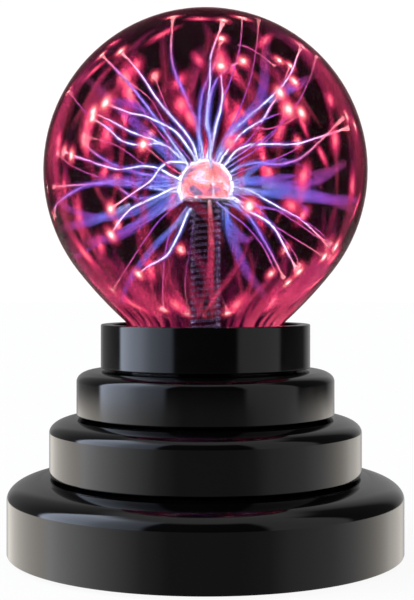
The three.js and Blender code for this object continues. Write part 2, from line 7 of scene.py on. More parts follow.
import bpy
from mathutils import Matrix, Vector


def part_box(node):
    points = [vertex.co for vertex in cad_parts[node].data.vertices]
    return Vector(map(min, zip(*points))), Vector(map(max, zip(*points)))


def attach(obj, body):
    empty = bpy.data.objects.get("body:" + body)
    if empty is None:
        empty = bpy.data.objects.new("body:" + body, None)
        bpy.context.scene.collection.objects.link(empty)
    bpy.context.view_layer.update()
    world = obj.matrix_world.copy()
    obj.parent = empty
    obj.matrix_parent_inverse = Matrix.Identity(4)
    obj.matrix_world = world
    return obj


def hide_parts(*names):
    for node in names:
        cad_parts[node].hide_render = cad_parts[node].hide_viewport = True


bl_info = {
    "name": "Plasma ball",
    "version": (1, 0, 0),
    "blender": (4, 5, 0),
    "location": "3D View > Sidebar > Plasma ball",
    "description": "Builds a desk plasma ball over its packed frame, with its studio",
    "category": "Add Mesh",
}

import math
import random

import bmesh
import bpy
from mathutils import Matrix, Vector

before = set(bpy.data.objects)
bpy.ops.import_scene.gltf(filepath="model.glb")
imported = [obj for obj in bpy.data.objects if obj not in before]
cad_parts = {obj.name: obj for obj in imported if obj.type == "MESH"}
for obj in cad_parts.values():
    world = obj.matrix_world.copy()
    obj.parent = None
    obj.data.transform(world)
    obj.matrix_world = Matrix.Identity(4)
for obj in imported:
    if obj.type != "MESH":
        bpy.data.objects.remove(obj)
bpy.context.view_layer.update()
MM = 0.001


# ---- Places and sizes from the frame ----------------------------------------------------------------


def span(node):
    """Lowest and highest corner of a CAD node, in millimetres."""
    low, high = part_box(node)
    return Vector(low) / MM, Vector(high) / MM


def outer_radius(node):
    low, high = span(node)
    return (high.x - low.x) / 2


def middle(node):
    low, high = span(node)
    return (low + high) / 2


GLOBE_TOP = span("globe_glass")[1].z
GLOBE_RADIUS = outer_radius("globe_glass")
GLOBE_CENTRE = Vector((0, 0, GLOBE_TOP - GLOBE_RADIUS))
NECK_FOOT = span("globe_glass")[0].z
BALL_RADIUS = 7.0
BALL_CENTRE = Vector((0, 0, span("electrode_glass")[1].z - BALL_RADIUS))
BALL_FLAT = BALL_CENTRE.z - 3.4
TUBE_RADIUS = 4.9
SPIGOT_DEPTH = 3.2
WALL = 2.0
# The real wall of the globe, which sets the bore of its neck. The drawn wall is thinner.
GLASS = 1.2
# Far below real glass at 1.5. The drawn globe would mirror the room at 1.5, and this one lets it go dark.
GLOBE_IOR = 1.03


# ---- Settings a user would change -------------------------------------------------------------------


def length(name, description, default):
    """A size in millimetres."""
    return bpy.props.FloatProperty(name=name, description=description, default=default, min=0)


def amount(name, description, default, most=1.0):
    return bpy.props.FloatProperty(name=name, description=description, default=default, min=0, max=most)


def colour(name, description, hex_colour):
    return bpy.props.FloatVectorProperty(
        name=name,
        description=description,
        default=linear(hex_colour)[:3],
        subtype="COLOR",
        size=3,
        min=0,
        max=1,
    )


def linear(hex_colour):
    """An sRGB hex colour as linear red, green, blue and alpha."""
    channels = [int(hex_colour[i : i + 2], 16) / 255 for i in (1, 3, 5)]
    curved = [c / 12.92 if c <= 0.04045 else ((c + 0.055) / 1.055) ** 2.4 for c in channels]
    return (*curved, 1.0)


class GlobeSettings(bpy.types.PropertyGroup):
    wall: length("Wall", "Depth of the glass's inner face in millimetres, drawn thin", 0.6)
    # Shade, tint and depth are painted shade: they draw the clear glass as dark as it looks when the arcs are
    # exposed for.
    shade: amount("Shade", "How much of the light each face of the dark glass holds back", 0.74)
    tint: colour("Tint", "Colour of the glass", "#0b0409")
    rim_glow: colour("Rim glow", "Colour that the discharge gives the wall", "#ff3a74")
    rim_strength: amount("Rim strength", "Brightness of the outer skin's glow per millimetre", 0.012, 10)
    depth: amount("Depth", "How much light a millimetre of the dark glass takes", 0.05)
    sheen: amount("Sheen", "Strength of the pink bloom along the glass's outline", 0.24)
    skin: length("Skin", "Thickness of the glowing outer skin in millimetres", 0.3)


class DischargeSettings(bpy.types.PropertyGroup):
    strength: amount("Strength", "Brightness of the arcs inside the dark glass", 20.0, 200)
    core: length("Core", "Radius of a bright arc in millimetres", 0.23)
    white: colour("Hot", "Colour of an arc's hottest stretch", "#e9ecff")
    blue: colour("Blue", "Colour of an arc's middle", "#6c7cf0")
    violet: colour("Violet", "Colour of an arc's outer half", "#9a4bc8")
    pink: colour("Pink", "Colour where an arc meets the glass", "#ff8f9c")
    seed: bpy.props.IntProperty(name="Seed", description="Picks the unlisted arcs", default=7)


class BaseSettings(bpy.types.PropertyGroup):
    edge: length("Edge", "Radius of the small moulded edges in millimetres", 0.35)


class StudioSettings(bpy.types.PropertyGroup):
    distance: length("Distance", "From the camera to the object's axis, in millimetres", 316.3)
    height: length("Height", "Height of the level camera above the table, in millimetres", 66.7)
    lens: bpy.props.FloatProperty(name="Lens", description="Focal length", default=77.1, unit="CAMERA")
    backdrop: colour("Backdrop", "Colour behind the object", "#ffffff")


SETTINGS = {
    "plasma_globe": GlobeSettings,
    "plasma_discharge": DischargeSettings,
    "plasma_base": BaseSettings,
    "plasma_studio": StudioSettings,
}


# ---- Nodes and materials ----------------------------------------------------------------------------


def add_node(tree, kind, values=None, **settings):
    """Adds a node, sets its settings, and sets or links each input that values names."""
    made = tree.nodes.new("ShaderNode" + kind)
    for name, value in settings.items():
        setattr(made, name, value)
    for name, value in (values or {}).items():
        if isinstance(value, bpy.types.NodeSocket):
            tree.links.new(value, made.inputs[name])
        else:
            made.inputs[name].default_value = value
    return made


def new_material(name):
    material = bpy.data.materials.new(name)
    material.use_nodes = True
    material.node_tree.nodes.clear()
    return material, material.node_tree


def use_surface(tree, shader, volume=None):
    output = add_node(tree, "OutputMaterial", {"Surface": shader.outputs[0]})
    if volume:
        tree.links.new(volume.outputs[0], output.inputs["Volume"])


def ramp(tree, factor, stops, interpolation="LINEAR"):
    """A colour ramp through (place, colour) stops. A colour is a hex string or linear values."""
    made = add_node(tree, "ValToRGB", {"Fac": factor})
    made.color_ramp.interpolation = interpolation
    elements = made.color_ramp.elements
    elements.remove(elements[1])
    elements[0].position = stops[0][0]
    for i, (place, shade) in enumerate(stops):
        if isinstance(shade, str):
            shade = linear(shade)
        element = elements.new(place) if i else elements[0]
        element.color = shade if len(shade) == 4 else (*shade, 1)
    return made.outputs["Color"]


def object_place(tree, scale=(1, 1, 1)):
    """Object coordinates, stretched by scale."""
    place = add_node(tree, "TexCoord").outputs["Object"]
    return add_node(tree, "Mapping", {"Vector": place, "Scale": scale}).outputs[0]


def map_range(tree, value, low, high, to_low, to_high, kind="LINEAR"):
    values = {"Value": value, 1: low, 2: high, 3: to_low, 4: to_high}
    return add_node(tree, "MapRange", values, interpolation_type=kind).outputs[0]


def maths(tree, operation, first, second=0.0):
    return add_node(tree, "Math", {0: first, 1: second}, operation=operation).outputs[0]


# Every plain finish: lighter and darker colour, metallic, smoothest and roughest, pattern, the size of
# its marks in millimetres, how it is stretched along X, Y and Z, and how deep the marks are in millimetres.
# Marks finer than about 0.2 mm would not show, so spark texture, wire and grains are drawn coarser than real.
FINISHES = {
    # Polished ABS off a mirror-finish mould: deep black, with the faint waviness that moulding leaves.
    "polished_moulded_abs": ("#060507", "#040405", 0, 0.06, 0.12, "Noise", 6.0, (1, 1, 1), 0.002),
    # ABS off a spark-eroded mould: a dull, evenly grained black.
    "spark_textured_abs": ("#19191b", "#101012", 0, 0.38, 0.55, "Voronoi", 0.3, (1, 1, 1), 0.012),
    # Moulded nylon, half polished: fingers keep its high places bright.
    "half_polished_nylon": ("#161618", "#0e0e10", 0, 0.16, 0.28, "Noise", 0.8, (1, 1, 1), 0.006),
    # Moulded nitrile rubber: flat black-grey with a powdery bloom.
    "moulded_nitrile_rubber": ("#1d1c1d", "#121112", 0, 0.75, 0.92, "Noise", 0.4, (1, 1, 1), 0.02),
    # Woven glass laminate under green solder mask: the weave shows faintly through the mask.
    "solder_masked_laminate": ("#27683f", "#1a4f2e", 0, 0.3, 0.45, "Voronoi", 0.8, (1, 1, 1), 0.01),
    # Sintered ferrite: charcoal with a fine sparkle of grains.
    "sintered_ferrite": ("#3a393c", "#242326", 0.1, 0.5, 0.75, "Voronoi", 0.25, (1, 1, 1), 0.02),
    # Enamelled copper wire, layer wound: fine parallel turns, red-gold and varnished.
    "enamelled_copper_wire": ("#c9773c", "#7c3a18", 1, 0.22, 0.4, "Wave", 0.7, (1, 0, 0), 0.08),
    # Rolled aluminium plate: pale grey with fine lines along the rolling.
    "rolled_aluminium": ("#c4c7ca", "#9da1a5", 1, 0.28, 0.45, "Noise", 0.3, (1, 0.05, 1), 0.006),
    # Filled epoxy package: dark matt grey with a sandy skin.
    "filled_epoxy_moulding": ("#232325", "#161618", 0, 0.5, 0.65, "Noise", 0.2, (1, 1, 1), 0.008),
    # Shrunk PET sleeve: glossy dark blue with slow ripples.
    "shrunk_pet_sleeve": ("#22377e", "#182960", 0, 0.2, 0.32, "Noise", 2.5, (1, 1, 0.3), 0.02),
    # Dipped epoxy: brick red, thick and a little lumpy.
    "dipped_epoxy": ("#a63f25", "#84301b", 0, 0.22, 0.38, "Noise", 1.8, (1, 1, 1), 0.05),
    # Nickel-plated steel strip: warm bright metal with drawing lines.
    "nickel_plated_strip": ("#cfcabb", "#a7a293", 1, 0.18, 0.34, "Noise", 0.3, (1, 1, 0.1), 0.004),
    # Zinc-plated steel: cooler and greyer than nickel, slightly clouded.
    "zinc_plated_steel": ("#b4b8bc", "#8a8e93", 1, 0.25, 0.45, "Noise", 0.5, (1, 1, 1), 0.006),
    # Soft PVC insulation, extruded: even colour with faint lengthwise drag.
    "extruded_red_pvc": ("#bb2a22", "#8e1b16", 0, 0.35, 0.5, "Noise", 0.6, (1, 1, 1), 0.01),
    "extruded_black_pvc": ("#1a1a1b", "#0f0f10", 0, 0.35, 0.5, "Noise", 0.6, (1, 1, 1), 0.01),
    "extruded_white_pvc": ("#dcd8cc", "#b8b3a5", 0, 0.35, 0.5, "Noise", 0.6, (1, 1, 1), 0.01),
    # Oiled spring wire, drawn: dark steel with narrow highlights along each turn.
    "drawn_spring_wire": ("#6d6874", "#45414c", 1, 0.2, 0.35, "Noise", 0.5, (1, 1, 1), 0.004),
    # Braided glass sleeve, varnished black: it swallows light, with a faint woven sheen.
    "varnished_glass_braid": ("#0d0b0f", "#050406", 0, 0.45, 0.7, "Voronoi", 0.5, (1, 1, 1), 0.03),
}


# Each finish is made once and shared. The imported frame has materials of its own, so names are not enough.
MADE_FINISHES = {}


def finish_material(name):
    """The named plain finish, made once."""
    if name in MADE_FINISHES:
        return MADE_FINISHES[name]
    light, dark, metallic, smooth, rough, pattern, size, stretch, depth = FINISHES[name]
    material, tree = new_material(name)
    place = object_place(tree, stretch)
    texture = add_node(tree, "Tex" + pattern, {"Vector": place, "Scale": 1 / (size * MM)})
    factor = texture.outputs["Distance" if pattern == "Voronoi" else "Fac"]
    shade = ramp(tree, factor, [(0.2, linear(dark)), (0.8, linear(light))])
    roughness = map_range(tree, factor, 0.2, 0.8, smooth, rough)
    bump = add_node(tree, "Bump", {"Height": factor, "Distance": depth * MM, "Strength": 0.6})
    shader = add_node(
        tree,
        "BsdfPrincipled",
        {
            "Base Color": shade,
            "Metallic": metallic,
            "Roughness": roughness,
            "Normal": bump.outputs[0],
        },
    )
    use_surface(tree, shader)
    MADE_FINISHES[name] = material
    return material


def globe_material(settings):
    """Blown glass, clear in the real globe, drawn dark with painted shade, as dark as the globe looks when
    its arcs are exposed for: it passes little of the room and little of the arcs, and less the longer the
    way through its wall."""
    material, tree = new_material("dark_globe_glass")
    ripple = add_node(tree, "TexNoise", {"Vector": object_place(tree), "Scale": 1 / (14 * MM)})
    bump = add_node(tree, "Bump", {"Height": ripple.outputs["Fac"], "Distance": 0.02 * MM})
    shader = add_node(
        tree,
        "BsdfPrincipled",
        {
            "Base Color": (*settings.tint, 1),
            "Roughness": 0.04,
            "IOR": GLOBE_IOR,
            "Sheen Weight": settings.sheen,
            "Sheen Roughness": 0.22,
            "Sheen Tint": (*settings.rim_glow, 1),
            "Alpha": settings.shade,
            "Normal": bump.outputs[0],
        },
    )
    dark = add_node(tree, "VolumeAbsorption", {"Color": (0, 0, 0, 1), "Density": settings.depth / MM})
    use_surface(tree, shader, dark)
    return material


def gas_glow_and_glint_material(name, colour_value, strength):
    """Thin glowing gas with no skin of its own: a line of sight along it shows more of it than one
    straight through, so an outline glows and a face hardly does. Round the stem's coil it is painted
    glints on the wire."""
    material, tree = new_material(name)
    clear = add_node(tree, "BsdfTransparent")
    use_surface(tree, clear, add_node(tree, "Emission", {"Color": colour_value, "Strength": strength / MM}))
    material.cycles.emission_sampling = "NONE"
    return material


def clear_glass(name, alpha, glow_hex=None, strength=0.0):
    """Clear blown glass. Where it is lit from within, its wall glows with that light and its outline most."""
    material, tree = new_material(name)
    ripple = add_node(tree, "TexNoise", {"Vector": object_place(tree), "Scale": 1 / (3 * MM)})
    bump = add_node(tree, "Bump", {"Height": ripple.outputs["Fac"], "Distance": 0.01 * MM})
    shader = add_node(
        tree,
        "BsdfPrincipled",
        {
            "Base Color": linear("#1c1424"),
            "Roughness": 0.05,
            "IOR": 1.5,
            "Alpha": alpha,
            "Normal": bump.outputs[0],
        },
    )
    volume = None
    if glow_hex:
        volume = add_node(tree, "Emission", {"Color": linear(glow_hex), "Strength": strength / MM})
    use_surface(tree, shader, volume)
    material.cycles.emission_sampling = "NONE"
    return material


def lining_material(strength):
    """Glowing gas against the ball's inside: mottled coral with lavender and dark plum islands."""
    material, tree = new_material("glowing_electrode_lining")
    place = object_place(tree)
    coarse = add_node(tree, "TexNoise", {"Vector": place, "Scale": 1 / (4.2 * MM), "Detail": 1.2})
    shade = ramp(
        tree,
        coarse.outputs["Fac"],
        [
            (0.33, "#43205c"),
            (0.40, "#a84a86"),
            (0.45, "#e84a48"),
            (0.54, "#f06a58"),
            (0.61, "#ff9a90"),
            (0.68, "#e8c4f4"),
        ],
    )
    shader = add_node(
        tree,
        "BsdfPrincipled",
        {
            "Base Color": linear("#2a0d12"),
            "Roughness": 0.7,
            "Emission Color": shade,
            "Emission Strength": strength,
        },
    )
    use_surface(tree, shader)
    return material


def light_only(material, shade, strength, density):
    """Finishes a material as light with no surface of its own, thinned out by its density."""
    tree = material.node_tree
    black = {"Base Color": (0, 0, 0, 1), "Roughness": 1.0, "Specular IOR Level": 0.0}
    glow = {"Emission Color": shade, "Emission Strength": strength, "Alpha": density}
    use_surface(tree, add_node(tree, "BsdfPrincipled", {**black, **glow}))
    material.cycles.emission_sampling = "NONE"
    return material


def glow_material(name, stops, strength, alpha, mottle=0.0, mottle_size=4.0):
    """Glowing gas: its colour follows the "along" attribute and it thins out with the "glow" attribute.
    A mottle breaks it into wisps of mottle_size millimetres."""
    material, tree = new_material(name)
    along = add_node(tree, "Attribute", attribute_name="along").outputs["Fac"]
    glow = add_node(tree, "Attribute", attribute_name="glow").outputs["Fac"]
    density = maths(tree, "MULTIPLY", glow, alpha)
    if mottle:
        wisps = add_node(tree, "TexNoise", {"Vector": object_place(tree), "Scale": 1 / (mottle_size * MM)})
        thinned = map_range(tree, wisps.outputs["Fac"], 0.35, 0.6, 1 - mottle, 1.0)
        density = maths(tree, "MULTIPLY", density, thinned)
    return light_only(material, ramp(tree, along, stops), strength, density)


# ---- Modelling tools --------------------------------------------------------------------------------


def settings_of(group):
    return getattr(bpy.context.scene, group)


def clear_selection():
    bpy.ops.object.select_all(action="DESELECT")


def only(piece):
    clear_selection()
    piece.select_set(True)
    bpy.context.view_layer.objects.active = piece


def turned(name, profile, steps=96):
    """Draws a profile of (radius, height) points one by one and spins it once round the upright axis."""
    clear_selection()
    bpy.ops.mesh.primitive_plane_add(size=1)
    piece = bpy.context.object
    piece.name = name
    bpy.ops.object.mode_set(mode="EDIT")
    bpy.ops.mesh.merge(type="CENTER")
    here = Vector((0, 0, 0))
    for i, (radius, height) in enumerate([*profile, profile[0]]):
        there = Vector((radius, 0, height))
        if i == 0:
            bpy.ops.transform.translate(value=there - here)
        elif (there - here).length > 1e-6 and max(there.x, here.x) > 1e-6:
            bpy.ops.mesh.extrude_region_move(TRANSFORM_OT_translate={"value": there - here})
        here = there
    bpy.ops.mesh.select_all(action="SELECT")
    bpy.ops.mesh.spin(steps=steps, angle=2 * math.pi, center=(0, 0, 0), axis=(0, 0, 1))
    close_up()
    bpy.ops.object.mode_set(mode="OBJECT")
    return piece


def close_up():
    """Merges doubles and turns every face outwards, in edit mode."""
    bpy.ops.mesh.select_all(action="SELECT")
    bpy.ops.mesh.remove_doubles(threshold=0.002)
    bpy.ops.mesh.normals_make_consistent(inside=False)


def arc(centre, radii, from_angle, to_angle, steps):
    """Points on a stretch of an ellipse in a profile's plane. Angles are in degrees."""
    points = []
    for i in range(steps + 1):
        angle = math.radians(from_angle + (to_angle - from_angle) * i / steps)
        points.append((centre[0] + radii[0] * math.cos(angle), centre[1] + radii[1] * math.sin(angle)))
    return points


def dome(height, radius, until, steps):
    """Points on a ball's outline from its top down to an angle, the first one right on the axis."""
    points = arc((0, height), (radius, radius), 90, until, steps)
    points[0] = (0, points[0][1])
    return points


def rounded(profile, corners, radius, steps=3):
    """A profile with its listed corners rounded off."""
    made = []
    for i, point in enumerate(profile):
        if i not in corners:
            made.append(point)
            continue
        here = Vector(point)
        before = Vector(profile[i - 1]) - here
        after = Vector(profile[(i + 1) % len(profile)]) - here
        start = here + before.normalized() * radius
        end = here + after.normalized() * radius
        for k in range(steps + 1):
            t = k / steps
            made.append(tuple(start * (1 - t) ** 2 + here * 2 * t * (1 - t) + end * t**2))
    return made


def block(name, low, high):
    """A box between two corners."""
    clear_selection()
    low, high = Vector(low), Vector(high)
    bpy.ops.mesh.primitive_cube_add(size=1, location=(low + high) / 2, scale=high - low)
    piece = bpy.context.object
    piece.name = name
    bpy.ops.object.transform_apply()
    return piece


def rod(name, foot, top, radius, sides=48):
    """A cylinder between two points."""
    clear_selection()
    foot, top = Vector(foot), Vector(top)
    turn = (top - foot).to_track_quat("Z", "Y").to_euler()
    bpy.ops.mesh.primitive_cylinder_add(
        vertices=sides, radius=radius, depth=(top - foot).length, location=(foot + top) / 2, rotation=turn
    )
    piece = bpy.context.object
    piece.name = name
    bpy.ops.object.transform_apply()
    return piece


def apply_modifier(piece, kind, **settings):
    only(piece)
    modifier = piece.modifiers.new(kind.lower(), kind)
    for name, value in settings.items():
        setattr(modifier, name, value)
    bpy.ops.object.modifier_apply(modifier=modifier.name)


def combine(piece, tools, operation):
    """Joins tools to a piece or cuts them from it, and takes the tools away."""
    for tool in tools:
        apply_modifier(piece, "BOOLEAN", operation=operation, object=tool, solver="EXACT")
        bpy.data.objects.remove(tool)


def bevelled(piece, width, segments=2, angle=40):
    settings = {"width": width, "segments": segments, "limit_method": "ANGLE"}
    apply_modifier(piece, "BEVEL", angle_limit=math.radians(angle), **settings)
    return piece


def wear(piece, material):
    """Gives a piece this material and no other."""
    piece.data.materials.clear()
    piece.data.materials.append(material)


def complete(piece, body, material, replaces=(), smooth=35, weighted=True):
    """Brings a piece to metres, shades it, gives it its material and ties it to its body. Weighted
    shading keeps a wide flat face even up to a small rounded edge."""
    only(piece)
    bpy.ops.object.transform_apply()
    piece.data.transform(Matrix.Scale(MM, 4))
    bpy.ops.object.shade_smooth_by_angle(angle=math.radians(smooth))
    if weighted:
        apply_modifier(piece, "WEIGHTED_NORMAL", keep_sharp=True)
    wear(piece, material)
    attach(piece, body)
    if replaces:
        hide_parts(*replaces)
    if not piece.data.polygons:
        raise RuntimeError(f"{piece.name} came out empty")
    return piece


# ---- Globe ------------------------------------------------------------------------------------------

CONE_RADIUS = 100.0
CONE_FROM = -38.0
CONE_TO = -47.5
NECK_FILLET = 8.0


def globe_meridian(inset, steps=40, foot=NECK_FOOT):
    """The globe's outline from its top pole down to its neck, set in from its outer skin."""
    lean = CONE_RADIUS - GLOBE_RADIUS
    start = math.radians(CONE_FROM)
    end = math.radians(CONE_TO)
    cone = (-lean * math.cos(start), GLOBE_CENTRE.z - lean * math.sin(start))
    reach = CONE_RADIUS + NECK_FILLET
    fillet = (cone[0] + reach * math.cos(end), cone[1] + reach * math.sin(end))
    cone_radius = CONE_RADIUS - inset
    fillet_radius = NECK_FILLET + inset
    ball = dome(GLOBE_CENTRE.z, GLOBE_RADIUS - inset, CONE_FROM, steps)
    points = ball + arc(cone, (cone_radius, cone_radius), CONE_FROM, CONE_TO, 6)[1:]
    points += arc(fillet, (-fillet_radius, -fillet_radius), CONE_TO, 0, 8)[1:]
    return points + [(fillet[0] - fillet_radius, foot)]


def build_globe(settings):
    outer = globe_meridian(settings.skin)
    inner = globe_meridian(settings.wall)
    globe = turned("globe_glass_blown", outer + inner[::-1], 128)
    complete(globe, "base", globe_material(settings), ["globe_glass"], 60)

    skin = turned("globe_glow_skin", globe_meridian(0) + globe_meridian(settings.skin - 0.06)[::-1], 128)
    glow = gas_glow_and_glint_material("glow_in_globe_skin", (*settings.rim_glow, 1), settings.rim_strength)
    complete(skin, "base", glow, smooth=60)


def build_electrode(settings):
    """The glass ball, its glowing inside, and the glass tube under it that flares out in the neck."""
    strength = settings.strength
    wall = 0.5
    under = math.degrees(math.asin((BALL_FLAT - BALL_CENTRE.z) / BALL_RADIUS))
    tube_top = BALL_FLAT - 0.4
    outer = dome(BALL_CENTRE.z, BALL_RADIUS, under, 24)
    inner = dome(BALL_CENTRE.z, BALL_RADIUS - wall, under, 24)
    bulb = turned("electrode_bulb", outer + inner[::-1], 64)
    glowing = clear_glass("electrode_bulb_glass", 0.04, "#efe2ff", 0.3 * strength)
    complete(bulb, "base", glowing, ["electrode_glass"], 60)

    flare_top, flare_foot = 51.0, span("electrode_glass")[0].z + 0.9
    neck_bore = globe_meridian(GLASS)[-1][0] - 0.3
    drop = flare_top - flare_foot
    tube = [(6.0, BALL_FLAT - 0.1), (TUBE_RADIUS + 0.4, tube_top), (TUBE_RADIUS, tube_top - 0.4)]
    tube += arc((neck_bore, flare_top), (neck_bore - TUBE_RADIUS, drop), 180, 270, 12)
    bore = TUBE_RADIUS - 0.9
    tube += arc((neck_bore, flare_top - 0.9), (neck_bore - bore, drop), 270, 180, 12)
    tube += [(bore, tube_top + 0.2), (6.0, BALL_FLAT + 0.25)]
    stem = turned("stem_tube", tube, 64)
    complete(stem, "base", clear_glass("stem_tube_glass", 0.3), smooth=60)

    radius = outer_radius("electrode_lining")
    foot = span("electrode_lining")[0].z
    lining_under = math.degrees(math.asin((foot - BALL_CENTRE.z) / radius))
    outline = dome(BALL_CENTRE.z, radius, lining_under, 24) + [(0, foot)]
    lining = turned("electrode_glow", outline, 64)
    glow = lining_material(0.9 * strength)
    complete(lining, "base", glow, ["electrode_lining"], 60)


def wound_coil(name, wire):
    """A coil of round wire on the stem spring's own centre line."""
    low, high = span("stem_spring")
    spring_wire = 0.25
    radius = outer_radius("stem_spring") - spring_wire
    pitch = 1.55
    rise = high.z - low.z - 2 * spring_wire
    curve = bpy.data.curves.new(name, "CURVE")
    curve.dimensions = "3D"
    curve.bevel_depth = wire
    curve.bevel_resolution = 2
    curve.use_fill_caps = True
    per_turn = 20
    count = round(rise / pitch * per_turn)
    spline = curve.splines.new("POLY")
    spline.points.add(count)
    for i, point in enumerate(spline.points):
        angle = 2 * math.pi * i / per_turn
        height = low.z + spring_wire + rise * i / count
        point.co = (radius * math.cos(angle), radius * math.sin(angle), height, 1)
    coil = bpy.data.objects.new(name, curve)
    bpy.context.scene.collection.objects.link(coil)
    only(coil)
    bpy.ops.object.convert(target="MESH")
    bpy.ops.object.mode_set(mode="EDIT")
    bpy.ops.mesh.select_all(action="SELECT")
    bpy.ops.mesh.remove_doubles(threshold=0.002)
    bpy.ops.object.mode_set(mode="OBJECT")
    return bpy.context.object


def build_stem(settings):
    """The coil of spring wire round the dark sleeve inside the stem's glass, and a glowing sheath on it
    that paints glints on its turns.
    """
    coil = wound_coil("stem_coil", 0.25)
    complete(coil, "base", finish_material("drawn_spring_wire"), ["stem_spring"], 60)
    # A glowing sheath round the wire: painted glints, brightest where a line of sight runs along the wire, as
    # at the coil's sides.
    glint_sheath = wound_coil("stem_coil_glint_sheath", 0.36)
    glow = gas_glow_and_glint_material("painted_glints_on_coil", linear("#c9b2f0"), 0.6 * settings.strength)
    complete(glint_sheath, "base", glow, smooth=60)

    low, high = span("stem_insulator")
    radius = outer_radius("stem_insulator")
    bore = 1.4
    profile = [(radius, low.z), (radius, high.z), (bore, high.z), (bore, low.z)]
    sleeve = turned("stem_sleeve", rounded(profile, range(4), 0.3), 48)
    sleeve_finish = finish_material("varnished_glass_braid")
    complete(sleeve, "base", sleeve_finish, ["stem_insulator"])


# ---- Discharge --------------------------------------------------------------------------------------

# Each arc by kind, by how far round the near (1) or far (-1) side of the globe it runs, and by its bends
# as seen from the front: clock angle in degrees from the right, and reach from the ball in millimetres.
ARCS = [
    ("blue", 0.2, (95, 9), (98, 15), (100, 18), (103, 24), (105, 30), (104, 35), (101, 43.7)),
    ("white", 1, (107, 8), (106, 10.5), (110, 14), (116, 19.5), (119, 25), (120, 32.5), (122, 39.4)),
    ("violet", -1, (107, 8), (111, 14), (116, 19), (115.5, 25), (114.7, 30)),
    ("white", 1, (112, 9), (118, 15), (124, 18.6), (130, 22.6), (136, 26.4), (140, 32.2)),
    ("veil", 0.3, (140, 8), (140, 12), (138, 19), (137.6, 25), (137.6, 33), (137.6, 41)),
    ("white", 1, (128, 8), (134, 14), (140, 19), (143.6, 23), (145, 28), (146.3, 33.3)),
    ("white", 1, (130, 9), (135, 14.8), (144.5, 18), (149.6, 20.7), (151, 24), (149, 28.5), (148.6, 32.7)),
    ("violet", 0.1, (148, 27), (148.6, 32.7), (147, 37), (145, 41)),
    ("pink", 1, (152, 8), (150.6, 10), (148, 14), (145.7, 18.6)),
    ("white", 1, (131, 8), (144, 10.5), (155.5, 12), (168, 12.8), (176, 14.2), (184, 17.5), (193, 24)),
    ("white", -1, (162, 8), (158.6, 13), (162, 16.6), (167, 20), (168.7, 23.2), (167, 31.4), (166, 36)),
    ("blue", 0.2, (178, 8), (179, 15), (178, 25), (179, 31), (180, 37.6)),
    ("veil", 1, (174, 8), (173, 13), (175.4, 18.3), (175, 24), (174, 28.3)),
    ("white", 1, (182, 8), (191, 12.4), (194, 15.9), (196.5, 19.3), (202, 23), (207, 26.1)),
    ("veil", -0.6, (194, 19), (196.4, 26.8), (196.4, 32), (196, 37.3)),
    ("veil", 1, (199, 8), (203, 12), (208, 17), (209.3, 23.8), (206, 30.4), (204, 34)),
    ("white", 1, (235.5, 7.7), (240, 12), (241, 16.6), (240, 19.8), (233.7, 24.6), (232.6, 27.1)),
    ("violet", -1, (228, 8), (231, 13), (236, 17), (242.6, 22.4), (248, 28), (251, 32)),
    ("white", -0.7, (87, 7.5), (83.4, 11.8), (89.5, 15.4), (88.5, 20), (87.5, 26), (87.6, 32.3), (84, 40.6)),
    ("white", 1, (81, 8), (80.5, 12), (80, 16), (79, 19), (79.5, 23), (82, 27.6), (82.7, 30)),
    ("violet", 0.1, (83, 12), (80, 19), (77, 26), (76, 33.6), (77, 39.4), (77.7, 43)),
    ("pink", -0.8, (77, 42.5), (73.7, 39), (69, 35.4), (60, 34.3)),
    ("veil", 0.8, (68, 8), (65, 14.3), (60, 19.7), (58, 25), (61, 29.8), (65.5, 35.4), (67.7, 40.4)),
    ("white", 0.1, (66, 8), (64, 14.9), (59, 19.7), (54.5, 26), (52.8, 31.7), (53.5, 36), (55.8, 42.2)),
    ("violet", 1, (53, 28), (50.5, 31), (50, 34)),
    ("veil", -0.4, (53, 26), (50.5, 30), (48, 34), (45.8, 38.1)),
    ("white", 1, (60, 8), (58, 12), (56, 16), (51.5, 19.8), (49.5, 22), (51, 25), (51.6, 29.6)),
    ("violet", 1, (50, 21.5), (46, 24.5), (43, 28)),
    ("pink", 1, (51.6, 18.4), (46, 20), (42, 21.5), (38.3, 25.5), (37.6, 29.9)),
    ("white", 0.7, (48.5, 8), (50, 11.3), (45, 14.4), (37.4, 17.4), (26, 24), (24, 28.7), (22.5, 38.1)),
    ("blue", -0.7, (31, 8), (30, 10.8), (24.7, 14.3), (18.4, 17.6), (16.3, 21.3), (18.3, 26.3), (26.7, 38)),
    ("veil", 1, (12.3, 7.9), (8, 11), (5.2, 14), (1.3, 20), (3, 27), (9, 33.5), (10.5, 35)),
    ("veil", -0.3, (2, 14), (359, 20), (355, 29), (350.5, 38.2)),
    ("white", -0.9, (359.4, 7.7), (355, 11.4), (349.3, 14.1), (345, 18.2), (341, 25), (335, 32.9)),
    ("violet", 0.8, (346.6, 8), (341, 14.2), (342, 18), (338.7, 24), (336, 30), (335.5, 34)),
    ("white", 0.9, (336, 8), (331, 12), (331, 16.8), (328.7, 20), (321.8, 25.5), (318, 30)),
    ("blue", -0.8, (330, 8), (325, 13.4), (319, 18), (314, 24), (310.7, 29.4)),
    ("violet", -1, (342, 13), (335, 16), (330, 19), (322, 25)),
    ("veil", -0.9, (310, 7.5), (301, 9.8), (297.5, 14), (296, 18.4), (296.2, 24), (297.8, 28), (299, 34.4)),
    ("white", 1, (340, 7.5), (337.5, 9.5), (336.6, 11.8)),
    ("violet", 0.9, (334, 9), (331, 17), (330, 25), (329.6, 33.2)),
    ("violet", -0.9, (212, 8), (216, 14), (222, 21), (226, 28), (228, 34)),
    ("violet", -0.9, (168, 8), (160, 16), (155, 24), (157, 31.4)),
    ("blue", -0.9, (100, 8), (96, 15), (92, 23), (86, 30), (84, 36)),
    ("violet", -0.9, (120, 8), (124, 16), (122, 25), (126.4, 32.9)),
    ("violet", -0.9, (252, 9), (256, 16), (258, 24), (262, 31)),
    ("violet", -0.9, (285, 9), (281, 16), (277, 24), (280, 31)),
]

